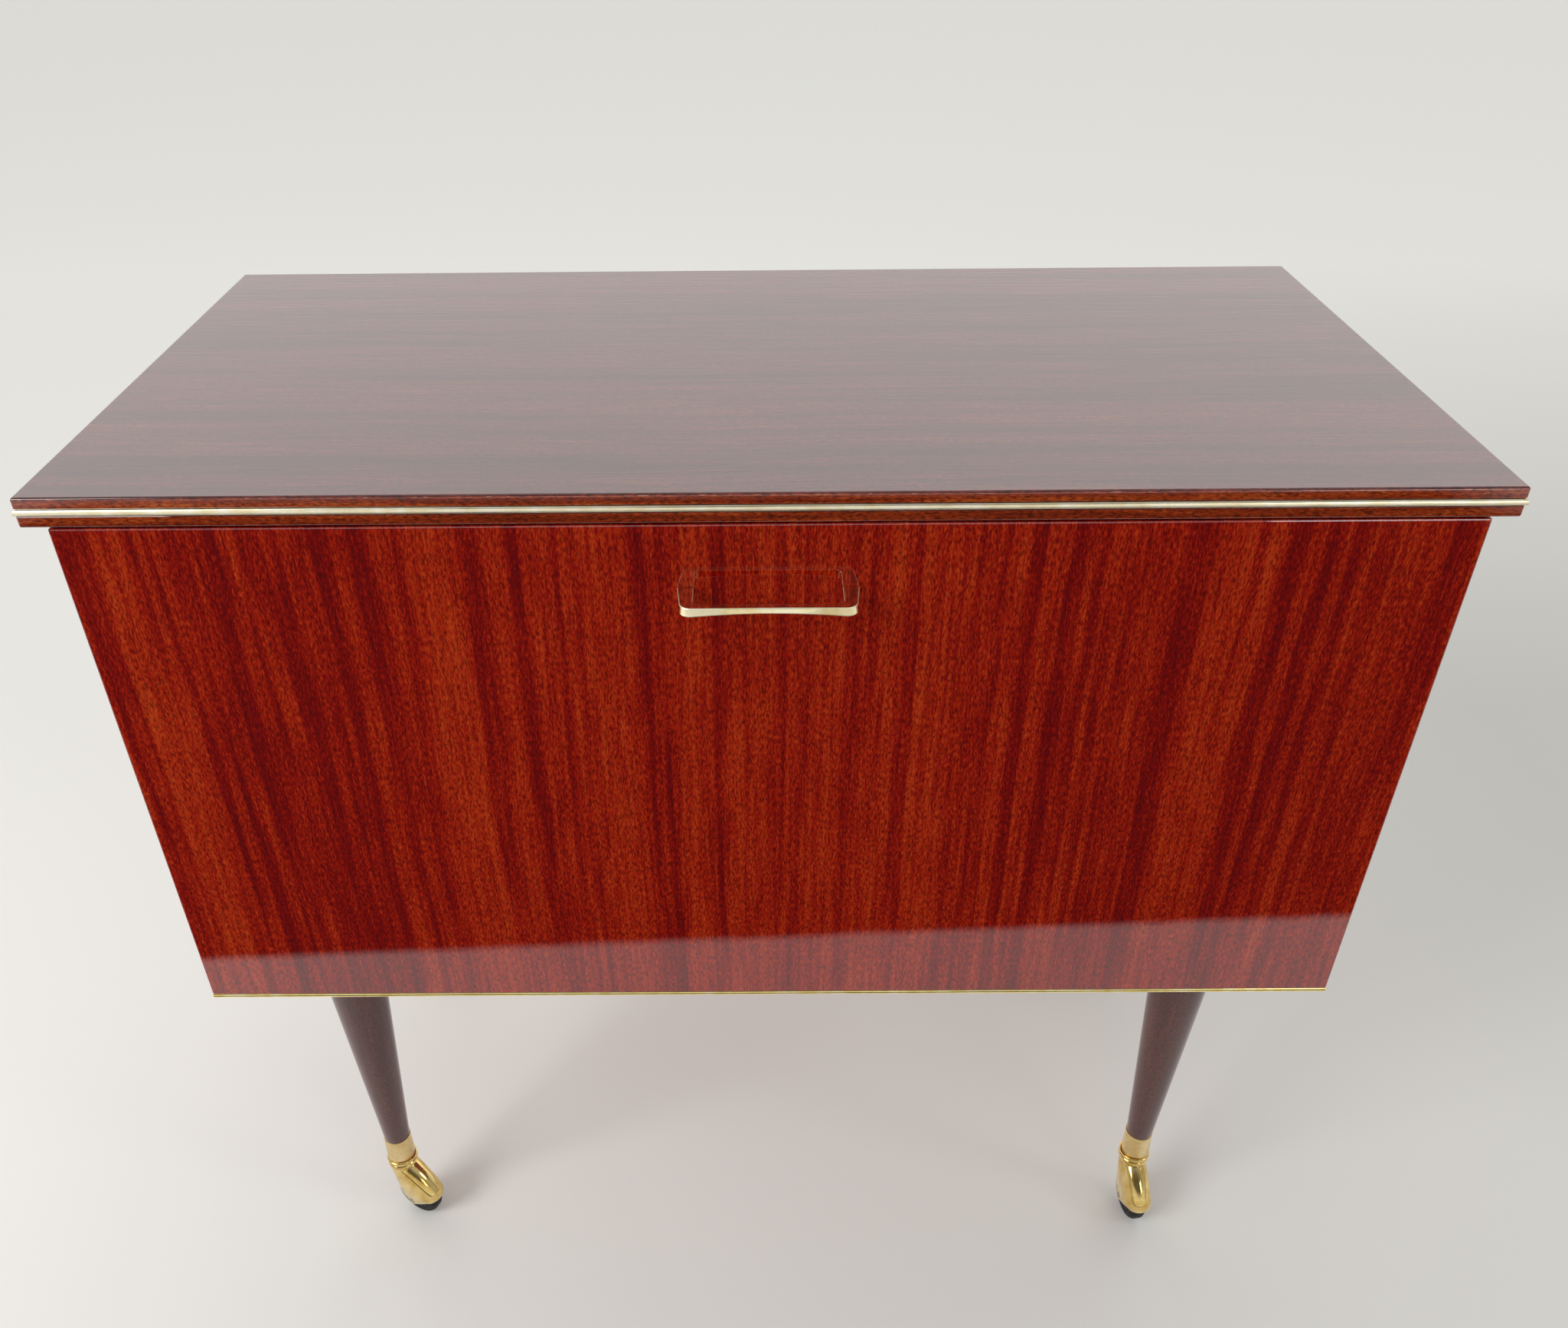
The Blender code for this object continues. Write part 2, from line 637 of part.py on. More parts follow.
knuckle_tube.transform(ALONG_X)


def repeated_along_x(name, mesh, places):
    """Copies of a mesh at several places along X, in one mesh."""
    bm = bmesh.new()
    for place in places:
        before = len(bm.verts)
        bm.from_mesh(mesh)
        bm.verts.ensure_lookup_table()
        bmesh.ops.translate(bm, vec=(place, 0, 0), verts=bm.verts[before:])
    joined = bpy.data.meshes.new(name)
    bm.to_mesh(joined)
    bm.free()
    return joined


def hinge_leaf(name, first, turn, parent):
    """A leaf that lies in front of the axis, turned to its board, with every other knuckle."""
    low_z, high_z = LEAF_SPLIT / 2, LEAF_SPLIT / 2 + LEAF_THICKNESS
    places = [(i - (knuckle_count - 1) / 2) * KNUCKLE_LENGTH for i in range(first, knuckle_count, 2)]
    neck_low = (-half_knuckle, -leaf_start - KNUCKLE_GAP, low_z)
    neck = box_mesh("neck", neck_low, (half_knuckle, -neck_start, high_z))
    leaf_low = (-hinge_length / 2, -LEAF_WIDTH, low_z)
    leaf_mesh = box_mesh(name, leaf_low, (hinge_length / 2, -leaf_start, high_z))
    necks = repeated_along_x(name + "_necks", neck, places)
    tubes = repeated_along_x(name + "_tubes", knuckle_tube, places)
    for mesh in (leaf_mesh, necks, tubes):
        mesh.transform(turn)
    leaf = add_part(name, leaf_mesh, BRASS, parent=parent)
    combine(leaf, add_cutter(name + "_necks", necks, parent=parent), "UNION")
    combine(leaf, add_cutter(name + "_tubes", tubes, parent=parent), "UNION")


hinge_axis = add_axis("hinge_axis", (0, HINGE_Y, HINGE_Z))
# Turned end for end, the same leaf lies on the front edge of the bottom board
ON_CARCASS = Matrix(((-1, 0, 0, 0), (0, 0, 1, 0), (0, 1, 0, 0), (0, 0, 0, 1)))
hinge_leaf("hinge_leaf_flap", 1, Matrix.Identity(4), flap_axis)
hinge_leaf("hinge_leaf_carcass", 0, ON_CARCASS, hinge_axis)
pin_mesh = turned_mesh(
    "hinge_pin",
    [
        (0, hinge_length / 2),
        (HINGE_PIN_RADIUS, hinge_length / 2),
        (HINGE_PIN_RADIUS, -hinge_length / 2),
        (0, -hinge_length / 2),
    ],
    HINGE_SIDES,
)
pin_mesh.transform(ALONG_X)
add_part("hinge_pin", pin_mesh, STEEL, parent=hinge_axis)

# Slotted stays: each pivots on the flap and slides on a stud in the side board
closed_span = 2 * STAY_RADIUS * math.sin(STAY_REST_ANGLE / 2)
open_span = PIVOT_REACH
arm_slope = -(PIVOT_LEAN + STAY_REST_ANGLE / 2)
slot_half = STUD_RADIUS + SLOT_PLAY
arm_outlines = [
    capsule(0.0, open_span + slot_half, ARM_WIDTH / 2, 9),
    capsule(closed_span, open_span, slot_half, 9),
    circle((0.0, 0.0), RIVET_RADIUS + BORE_FIT, SMALL_STEPS),
]
# Depths from the side board's inner face towards the middle of the cabinet
flange_depth = SEAT_GAP + STUD_FLANGE_THICKNESS
arm_depth = flange_depth + ARM_SIDE_PLAY
head_depth = arm_depth + ARM_THICKNESS + ARM_SIDE_PLAY
lug_end = head_depth + BRACKET_THICKNESS
rivet_outside = arm_depth - SEAT_GAP
stud_profile = [
    (0, STUD_TANG_LENGTH),
    (STUD_TANG_RADIUS, STUD_TANG_LENGTH),
    (STUD_TANG_RADIUS, -SEAT_GAP),
    (STUD_FLANGE_RADIUS, -SEAT_GAP),
    (STUD_FLANGE_RADIUS, -flange_depth),
    (STUD_RADIUS, -flange_depth),
    (STUD_RADIUS, -head_depth),
    (STUD_HEAD_RADIUS, -head_depth),
    (STUD_HEAD_RADIUS, -head_depth - STUD_HEAD_THICKNESS),
    (0, -head_depth - STUD_HEAD_THICKNESS),
]
rivet_profile = [
    (0, RIVET_HEAD_THICKNESS - rivet_outside),
    (RIVET_HEAD_RADIUS, RIVET_HEAD_THICKNESS - rivet_outside),
    (RIVET_HEAD_RADIUS, -rivet_outside),
    (RIVET_RADIUS, -rivet_outside),
    (RIVET_RADIUS, -lug_end - SEAT_GAP),
    (RIVET_HEAD_RADIUS, -lug_end - SEAT_GAP),
    (RIVET_HEAD_RADIUS, -lug_end - SEAT_GAP - RIVET_HEAD_THICKNESS),
    (0, -lug_end - SEAT_GAP - RIVET_HEAD_THICKNESS),
]
lug_base = SEAT_GAP + BRACKET_THICKNESS / 2
lug_half = BRACKET_LENGTH / 2 - BRACKET_THICKNESS
lug_outline = [(lug_base, PIVOT.y - lug_half)]
lug_outline += arc((PIVOT.x, PIVOT.y), BRACKET_LUG_RADIUS, -60, 60, 9)
lug_outline += [(lug_base, PIVOT.y + lug_half)]
lug_hole = circle((PIVOT.x, PIVOT.y), RIVET_RADIUS + BORE_FIT, SMALL_STEPS)
for side, sign in (("left", -1), ("right", 1)):
    towards_side = Matrix.Rotation(sign * math.radians(90), 4, "Y")
    board_x = sign * INNER_HALF

    arm_mesh = plate_mesh("stay_arm_" + side, arm_outlines, ARM_THICKNESS)
    arm_mesh.transform(ACROSS)
    arm_x = sign * (INNER_HALF - arm_depth - ARM_THICKNESS / 2)
    arm_place = (arm_x, HINGE_Y + PIVOT.x, HINGE_Z + PIVOT.y)
    add_part("stay_arm_" + side, arm_mesh, BRASS, arm_place, (arm_slope, 0, 0))

    stud_mesh = turned_mesh("stay_stud_" + side, stud_profile, SMALL_STEPS)
    stud_mesh.transform(towards_side)
    add_part("stay_stud_" + side, stud_mesh, BRASS, (board_x, STUD_Y, STUD_Z))

    rivet_mesh = turned_mesh("stay_rivet_" + side, rivet_profile, SMALL_STEPS)
    rivet_mesh.transform(towards_side)
    rivet_place = (board_x, PIVOT.x, PIVOT.y)
    add_part("stay_rivet_" + side, rivet_mesh, BRASS, rivet_place, parent=flap_axis)

    lug_mesh = plate_mesh("stay_bracket_" + side, [lug_outline, lug_hole], BRACKET_THICKNESS)
    lug_mesh.transform(ACROSS)
    lug_x = sign * (INNER_HALF - head_depth - BRACKET_THICKNESS / 2)
    bracket = add_part("stay_bracket_" + side, lug_mesh, BRASS, (lug_x, 0, 0), parent=flap_axis)
    flange_ends = sorted((-sign * BRACKET_FLANGE, sign * BRACKET_THICKNESS / 4))
    flange = box_mesh(
        "bracket_flange_" + side,
        (flange_ends[0], SEAT_GAP, PIVOT.y - BRACKET_LENGTH / 2),
        (flange_ends[1], SEAT_GAP + BRACKET_THICKNESS, PIVOT.y + BRACKET_LENGTH / 2),
    )
    flange_tool = add_cutter("bracket_flange_" + side, flange, (lug_x, 0, 0), parent=flap_axis)
    combine(bracket, flange_tool, "UNION")

# Magnet catch under the front rail, and its strike plate on the flap
catch_top = RAIL_UNDERSIDE - SEAT_GAP
catch_front = HINGE_Y + STRIKE_THICKNESS + 2 * SEAT_GAP + CATCH_MAGNET_PROUD
catch_middle = catch_top - CATCH_HEIGHT / 2
catch_body = add_part(
    "catch_body",
    box_mesh(
        "catch_body",
        (-CATCH_LENGTH / 2, catch_front, catch_top - CATCH_HEIGHT),
        (CATCH_LENGTH / 2, catch_front + CATCH_DEPTH, catch_top),
    ),
    CATCH_PLASTIC,
)
ease_edges(catch_body, BOARD_ARRIS)
magnet_back = catch_front + CATCH_MAGNET_DEPTH
pocket = box_mesh(
    "magnet_pocket",
    (
        -CATCH_MAGNET_LENGTH / 2 - SEAT_GAP,
        catch_front - CATCH_DEPTH,
        catch_middle - CATCH_MAGNET_HEIGHT / 2 - SEAT_GAP,
    ),
    (
        CATCH_MAGNET_LENGTH / 2 + SEAT_GAP,
        magnet_back + SEAT_GAP,
        catch_middle + CATCH_MAGNET_HEIGHT / 2 + SEAT_GAP,
    ),
)
combine(catch_body, add_cutter("magnet_pocket", pocket))
add_part(
    "catch_magnet",
    box_mesh(
        "catch_magnet",
        (
            -CATCH_MAGNET_LENGTH / 2,
            catch_front - CATCH_MAGNET_PROUD,
            catch_middle - CATCH_MAGNET_HEIGHT / 2,
        ),
        (CATCH_MAGNET_LENGTH / 2, magnet_back, catch_middle + CATCH_MAGNET_HEIGHT / 2),
    ),
    STEEL,
)
strike_mesh = plate_mesh(
    "strike_plate",
    [rounded_rectangle(STRIKE_LENGTH / 2, STRIKE_HEIGHT / 2, STRIKE_CORNER, 4)],
    STRIKE_THICKNESS,
)
strike_mesh.transform(ALONG_Y)
strike_place = (0, SEAT_GAP + STRIKE_THICKNESS / 2, catch_middle - HINGE_Z)
add_part("strike_plate", strike_mesh, STEEL, strike_place, parent=flap_axis)

# Mirror against the back, and a half-depth glass shelf on four pins
mirror_half = INNER_HALF - MIRROR_MARGIN
mirror = add_part(
    "mirror",
    box_mesh(
        "mirror",
        (-mirror_half, MIRROR_FACE, HINGE_Z + SEAT_GAP),
        (mirror_half, MIRROR_FACE + MIRROR_THICKNESS, RAIL_UNDERSIDE - MIRROR_MARGIN),
    ),
    MIRROR_GLASS,
)
ease_edges(mirror, BOARD_ARRIS, 1)
shelf_half = INNER_HALF - PIN_FLANGE_THICKNESS - 2 * SEAT_GAP
shelf_mesh = plate_mesh(
    "glass_shelf", [rounded_rectangle(shelf_half, SHELF_DEPTH / 2, SHELF_CORNER, 5)], SHELF_THICKNESS
)
shelf_place = (0, (SHELF_FRONT + SHELF_BACK) / 2, SHELF_UNDERSIDE + SHELF_THICKNESS / 2)
add_part("glass_shelf", shelf_mesh, SHELF_GLASS, shelf_place)
pin_profile = [
    (0, PIN_SHANK),
    (PIN_RADIUS, PIN_SHANK),
    (PIN_RADIUS, -SEAT_GAP),
    (PIN_FLANGE_RADIUS, -SEAT_GAP),
    (PIN_FLANGE_RADIUS, -SEAT_GAP - PIN_FLANGE_THICKNESS),
    (PIN_RADIUS, -SEAT_GAP - PIN_FLANGE_THICKNESS),
    (PIN_RADIUS, -PIN_REACH),
    (0, -PIN_REACH),
]
for side, sign in (("left", -1), ("right", 1)):
    for place, pin_y in zip(("front", "back"), PIN_YS):
        shelf_pin = turned_mesh(f"shelf_pin_{place}_{side}", pin_profile, SMALL_STEPS)
        shelf_pin.transform(Matrix.Rotation(sign * math.radians(90), 4, "Y"))
        add_part(f"shelf_pin_{place}_{side}", shelf_pin, BRASS, (sign * INNER_HALF, pin_y, PIN_Z))

# Heights up a leg, from the wheel on the floor to the bottom board
AXLE_Z = WHEEL_RADIUS * math.cos(math.pi / TURNED_STEPS)
CAVITY_RADIUS = WHEEL_RADIUS + WHEEL_CLEARANCE
DOME_RADIUS = CAVITY_RADIUS + HOOD_WALL
COLLAR_Z = AXLE_Z + HOOD_RISE
COLLAR_TOP = COLLAR_Z + COLLAR_HEIGHT
FERRULE_Z = COLLAR_TOP + SWIVEL_GAP
FERRULE_TOP = FERRULE_Z + FERRULE_HEIGHT
PLATE_Z = CARCASS_BOTTOM - SEAT_GAP - PLATE_THICKNESS
LEG_TOP = PLATE_Z - SEAT_GAP
SPIGOT_TOP = CARCASS_BOTTOM + SPIGOT_ENTRY

# Turned leg: a spigot into the bottom board, a straight taper, and a tenon in the ferrule
ferrule_rim = LEG_FOOT_RADIUS + FERRULE_PROUD
tenon_radius = ferrule_rim - FERRULE_WALL - SEAT_GAP
socket_radius = STEM_RADIUS + BORE_FIT
tenon_end = FERRULE_Z + FERRULE_BASE + SEAT_GAP
socket_top = FERRULE_Z + STEM_LENGTH + BORE_FIT
shoulder_centre = (LEG_TOP_RADIUS - LEG_SHOULDER, LEG_TOP - LEG_SHOULDER)
leg_profile = [(0, SPIGOT_TOP), (SPIGOT_RADIUS, SPIGOT_TOP), (SPIGOT_RADIUS, LEG_TOP)]
leg_profile += arc(shoulder_centre, LEG_SHOULDER, 90, 0, 4)
leg_profile += [
    (LEG_FOOT_RADIUS, FERRULE_TOP),
    (tenon_radius, FERRULE_TOP),
    (tenon_radius, tenon_end),
    (socket_radius, tenon_end),
    (socket_radius, socket_top),
    (0, socket_top),
]
leg_mesh = turned_mesh("leg", leg_profile, TURNED_STEPS)
shade_round(leg_mesh)

# Brass ferrule: a flared cup with a hole for the caster's stem
ferrule_top = FERRULE_TOP - SEAT_GAP
ferrule_profile = [
    (ferrule_rim, ferrule_top),
    (ferrule_rim + FERRULE_FLARE, FERRULE_Z + FERRULE_WALL),
    (ferrule_rim + FERRULE_FLARE - FERRULE_WALL, FERRULE_Z),
    (socket_radius, FERRULE_Z),
    (socket_radius, FERRULE_Z + FERRULE_BASE),
    (ferrule_rim - FERRULE_WALL, FERRULE_Z + FERRULE_BASE),
    (ferrule_rim - FERRULE_WALL, ferrule_top),
]
ferrule_mesh = turned_mesh("ferrule", ferrule_profile, TURNED_STEPS, closed=True)
shade_round(ferrule_mesh)

# Steel mounting plate with four screw holes round the leg's spigot
hole_place = PLATE_SIZE / 2 - PLATE_HOLE_INSET
plate_holes = [circle((0, 0), SPIGOT_RADIUS + BORE_FIT, SMALL_STEPS)]
for x_sign in (-1, 1):
    for y_sign in (-1, 1):
        plate_holes.append(circle((x_sign * hole_place, y_sign * hole_place), PLATE_HOLE_RADIUS, 8))
plate_edge = rounded_rectangle(PLATE_SIZE / 2, PLATE_SIZE / 2, PLATE_CORNER, 4)
leg_plate_mesh = plate_mesh("leg_plate", [plate_edge] + plate_holes, PLATE_THICKNESS)


def skinned_mesh(name, rings):
    """A closed skin over rings of points, with a face across each end."""
    count = len(rings[0])
    faces = [tuple(range(count)), tuple((len(rings) - 1) * count + i for i in reversed(range(count)))]
    for start in range(0, (len(rings) - 1) * count, count):
        for i in range(count):
            j = (i + 1) % count
            faces.append((start + i, start + count + i, start + count + j, start + j))
    mesh = bpy.data.meshes.new(name)
    mesh.from_pydata([point for ring in rings for point in ring], [], faces)
    bm = bmesh.new()
    bm.from_mesh(mesh)
    bmesh.ops.remove_doubles(bm, verts=bm.verts, dist=0.00001)
    bmesh.ops.recalc_face_normals(bm, faces=bm.faces)
    bm.to_mesh(mesh)
    bm.free()
    return mesh


# Cast hood: a round-edged finger over the wheel, swollen about a triangle from crown to nose to heel
HOOD_HALF_WIDTH = WHEEL_WIDTH / 2 + WHEEL_SIDE_PLAY + HOOD_CHEEK
hood_front = CASTER_TRAIL + DOME_RADIUS
crown = Vector((0, COLLAR_Z - HOOD_CROWN_DROP))
nose = Vector((hood_front - HOOD_HALF_WIDTH, AXLE_Z + HOOD_NOSE_RISE))
heel = Vector((CASTER_TRAIL - HOOD_HEEL_BACK, AXLE_Z - HOOD_HEEL_DROP))
hood_rings = []
for i in range(HOOD_RINGS + 1):
    tilt = math.pi * (i / HOOD_RINGS - 0.5)
    outline = []
    for before, corner, after in ((heel, crown, nose), (crown, nose, heel), (nose, heel, crown)):
        arrive, leave = corner - before, after - corner
        start = math.degrees(math.atan2(arrive.x, -arrive.y))
        turn = math.degrees(arrive.angle_signed(leave))
        outline += arc(corner, HOOD_HALF_WIDTH * math.cos(tilt), start, start - turn, HOOD_CORNER_POINTS)
    hood_rings.append([(x, HOOD_HALF_WIDTH * math.sin(tilt), z) for x, z in outline])
hood = add_part("caster_hood", skinned_mesh("caster_hood", hood_rings), BRASS)

# Two beads round the collar on the stem's axis, over a neck that runs down into the hood
neck_radius = HOOD_HALF_WIDTH + NECK_PROUD
neck_end = crown.y - HOOD_CROWN_DROP
collar_profile = [
    (0, COLLAR_TOP),
    (COLLAR_RADIUS - COLLAR_STEP, COLLAR_TOP),
    (COLLAR_RADIUS, COLLAR_TOP - 0.08 * COLLAR_HEIGHT),
    (COLLAR_RADIUS, COLLAR_TOP - 0.32 * COLLAR_HEIGHT),
    (COLLAR_RADIUS - COLLAR_STEP, COLLAR_TOP - 0.44 * COLLAR_HEIGHT),
    (COLLAR_RADIUS - COLLAR_STEP / 3, COLLAR_TOP - 0.56 * COLLAR_HEIGHT),
    (COLLAR_RADIUS - COLLAR_STEP / 3, COLLAR_TOP - 0.80 * COLLAR_HEIGHT),
    (neck_radius, COLLAR_Z),
    (neck_radius - NECK_TAPER, neck_end),
    (0, neck_end),
]
collar_mesh = turned_mesh("caster_collar", collar_profile, TURNED_STEPS)
combine(hood, add_cutter("caster_collar", collar_mesh), "UNION")

# The wheel's room in the hood follows the wheel's rounded section and is open below
cavity_half = WHEEL_WIDTH / 2 + WHEEL_SIDE_PLAY
CAVITY_POWER = 3.5
cavity_levels = []
for lean in (12, 28, 44, 60, 75, 90):
    reach = CAVITY_RADIUS * math.sin(math.radians(lean))
    share = (1 - math.cos(math.radians(lean)) ** CAVITY_POWER) ** (1 / CAVITY_POWER)
    cavity_levels.append((AXLE_Z + CAVITY_RADIUS * math.cos(math.radians(lean)), reach, cavity_half * share))
cavity_levels.append((-HOOD_AXLE_RIM, *cavity_levels[-1][1:]))
cavity_rings = []
for height, half_length, half_width in cavity_levels:
    ring = []
    for cosine, sine in circle((0.0, 0.0), 1.0, CAVITY_POINTS):
        along = math.copysign(abs(cosine) ** (2 / CAVITY_POWER), cosine)
        aside = math.copysign(abs(sine) ** (2 / CAVITY_POWER), sine)
        ring.append((CASTER_TRAIL + half_length * along, half_width * aside, height))
    cavity_rings.append(ring)
combine(hood, add_cutter("wheel_room", skinned_mesh("wheel_room", cavity_rings)))

# The rim dips from the nose to the axle and climbs steeply behind it, where the wheel shows
nose_slope = math.atan2(HOOD_NOSE_RIM - HOOD_AXLE_RIM, hood_front - CASTER_TRAIL)
rim_reach = 3 * hood_front
rim_low, rim_high = (-rim_reach, -rim_reach, -rim_reach), (rim_reach, rim_reach, 0)
nose_place = (CASTER_TRAIL, 0, HOOD_AXLE_RIM)
rear_place = (CASTER_TRAIL - HOOD_REAR_INSET, 0, HOOD_AXLE_RIM)
nose_rim = add_cutter("nose_rim", box_mesh("nose_rim", rim_low, rim_high), nose_place, (0, -nose_slope, 0))
rear_rim = add_cutter(
    "rear_rim", box_mesh("rear_rim", rim_low, rim_high), rear_place, (0, HOOD_REAR_SLOPE, 0)
)
combine(hood, nose_rim)
combine(hood, rear_rim)
axle_bore = turned_mesh(
    "axle_bore",
    [
        (0, rim_reach),
        (AXLE_RADIUS + BORE_FIT, rim_reach),
        (AXLE_RADIUS + BORE_FIT, -rim_reach),
        (0, -rim_reach),
    ],
    SMALL_STEPS,
)
axle_bore.transform(ALONG_Y)
combine(hood, add_cutter("axle_bore", axle_bore, (CASTER_TRAIL, 0, AXLE_Z)))
stem_end = COLLAR_TOP - STEM_SEAT
stem_bore = turned_mesh(
    "stem_bore",
    [
        (0, FERRULE_TOP),
        (socket_radius, FERRULE_TOP),
        (socket_radius, stem_end - BORE_FIT),
        (0, stem_end - BORE_FIT),
    ],
    SMALL_STEPS,
)
combine(hood, add_cutter("stem_bore", stem_bore))
hood_mesh = baked_mesh(hood, "caster_hood")
shade_round(hood_mesh)

# Wheel with a flat tread between rounded shoulders; a facet rests on the floor
half_wheel = WHEEL_WIDTH / 2
tread_half = half_wheel - TREAD_ROUND
wheel_bore = AXLE_RADIUS + BORE_FIT
shoulder_radius = WHEEL_RADIUS - TREAD_ROUND
wheel_profile = [(wheel_bore, half_wheel)]
wheel_profile += arc((shoulder_radius, tread_half), TREAD_ROUND, 90, 0, 4)
wheel_profile += arc((shoulder_radius, -tread_half), TREAD_ROUND, 0, -90, 4)
wheel_profile += [(wheel_bore, -half_wheel)]
wheel_mesh = turned_mesh("caster_wheel", wheel_profile, TURNED_STEPS, closed=True)
wheel_mesh.transform(Matrix.Rotation(math.pi / TURNED_STEPS, 4, "Z"))
wheel_mesh.transform(ALONG_Y)
shade_round(wheel_mesh)

# Axle across the cheeks, and the swivel stem
half_axle = HOOD_HALF_WIDTH - SEAT_GAP
axle_mesh = turned_mesh(
    "caster_axle",
    [(0, half_axle), (AXLE_RADIUS, half_axle), (AXLE_RADIUS, -half_axle), (0, -half_axle)],
    SMALL_STEPS,
)
axle_mesh.transform(ALONG_Y)
stem_top = FERRULE_Z + STEM_LENGTH
stem_mesh = turned_mesh(
    "caster_stem",
    [
        (0, stem_top),
        (STEM_RADIUS - STEM_CHAMFER, stem_top),
        (STEM_RADIUS, stem_top - STEM_CHAMFER),
        (STEM_RADIUS, stem_end),
        (0, stem_end),
    ],
    SMALL_STEPS,
)

leg_x = HALF_CARCASS - LEG_SIDE_INSET
leg_ys = {"front": FRONT_Y + LEG_FRONT_INSET, "back": BACK_Y - LEG_BACK_INSET}
for corner, turn in CASTER_TURN.items():
    row, side = corner.split("_")
    foot = (leg_x if side == "right" else -leg_x, leg_ys[row])
    add_part("leg_" + corner, leg_mesh.copy(), LEG_WOOD, (*foot, 0))
    add_part("ferrule_" + corner, ferrule_mesh.copy(), BRASS, (*foot, 0))
    add_part("leg_plate_" + corner, leg_plate_mesh.copy(), STEEL, (*foot, PLATE_Z + PLATE_THICKNESS / 2))
    spigot_bore = turned_mesh(
        "spigot_bore_" + corner,
        [
            (0, SPIGOT_TOP + BORE_FIT),
            (SPIGOT_RADIUS + BORE_FIT, SPIGOT_TOP + BORE_FIT),
            (SPIGOT_RADIUS + BORE_FIT, LEG_TOP),
            (0, LEG_TOP),
        ],
        SMALL_STEPS,
    )
    combine(bottom_panel, add_cutter("spigot_bore_" + corner, spigot_bore, (*foot, 0)))
    swivel = add_axis("swivel_" + corner, (*foot, 0), (0, 0, turn))
    add_part("caster_hood_" + corner, hood_mesh.copy(), BRASS, parent=swivel)
    add_part("caster_stem_" + corner, stem_mesh.copy(), STEEL, parent=swivel)
    axle_place = (CASTER_TRAIL, 0, AXLE_Z)
    add_part("caster_axle_" + corner, axle_mesh.copy(), STEEL, axle_place, parent=swivel)
    add_part("caster_wheel_" + corner, wheel_mesh.copy(), RUBBER, axle_place, parent=swivel)
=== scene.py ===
"""Looks of a drop-front bar cabinet on casters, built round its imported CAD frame, in metres."""

import math

import bmesh
import bpy
from mathutils import Matrix, Vector


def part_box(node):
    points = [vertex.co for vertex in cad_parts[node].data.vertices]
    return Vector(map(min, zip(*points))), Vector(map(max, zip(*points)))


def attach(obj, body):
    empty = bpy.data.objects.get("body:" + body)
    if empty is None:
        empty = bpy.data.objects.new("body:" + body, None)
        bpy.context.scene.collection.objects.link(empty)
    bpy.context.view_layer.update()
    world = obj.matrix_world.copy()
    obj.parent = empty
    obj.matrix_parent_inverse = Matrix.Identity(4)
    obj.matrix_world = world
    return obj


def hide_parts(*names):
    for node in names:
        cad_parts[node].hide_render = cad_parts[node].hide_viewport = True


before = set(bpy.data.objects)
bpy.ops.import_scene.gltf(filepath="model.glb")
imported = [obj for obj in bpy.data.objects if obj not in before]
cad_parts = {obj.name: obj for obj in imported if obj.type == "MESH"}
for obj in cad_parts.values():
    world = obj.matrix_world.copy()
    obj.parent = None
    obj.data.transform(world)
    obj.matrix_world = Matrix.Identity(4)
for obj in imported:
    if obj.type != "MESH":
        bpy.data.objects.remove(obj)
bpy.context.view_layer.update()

# The carcass: two side boards, a floor and two rails of veneered board, dowelled and glued.
# Striped mahogany veneer is sanded flat, stained red and buried in thick polished lacquer.
# The thin back board is plain stained plywood, pinned into rebates.


def linear(code):
    """A colour written as sRGB hex, in linear light."""
    shares = [int(code[i:i + 2], 16) / 255 for i in (1, 3, 5)]
    return (*[c / 12.92 if c <= 0.04045 else ((c + 0.055) / 1.055) ** 2.4 for c in shares], 1.0)


def node(tree, kind, inputs=None, stops=None, **settings):
    """Adds a shader node with its settings; an input is a value or another node's output."""
    made = tree.nodes.new("ShaderNode" + kind)
    for key, value in settings.items():
        setattr(made, key, value)
    for key, value in (inputs or {}).items():
        if isinstance(value, bpy.types.NodeSocket):
            tree.links.new(value, made.inputs[key])
        else:
            made.inputs[key].default_value = value
    if stops:
        elements = made.color_ramp.elements
        for element, (place, code) in zip((elements[0], elements[1]), (stops[0], stops[-1])):
            element.position, element.color = place, linear(code)
        for place, code in stops[1:-1]:
            elements.new(place).color = linear(code)
    return made


def blank(name):
    """A new material with an empty node tree, and that tree."""
    material = bpy.data.materials.new(name)
    material.use_nodes = True
    material.node_tree.nodes.clear()
    return material, material.node_tree


def stretched_noise(tree, coords, grain, across, along, detail):
    """Noise drawn out along the grain's axis; across and along are its real sizes."""
    scale = [1 / across] * 3
    scale[grain] = 1 / along
    mapped = node(tree, "Mapping", {"Vector": coords, "Scale": scale})
    noise = node(tree, "TexNoise", {"Vector": mapped.outputs[0], "Scale": 1.0, "Detail": detail})
    return noise.outputs["Fac"]


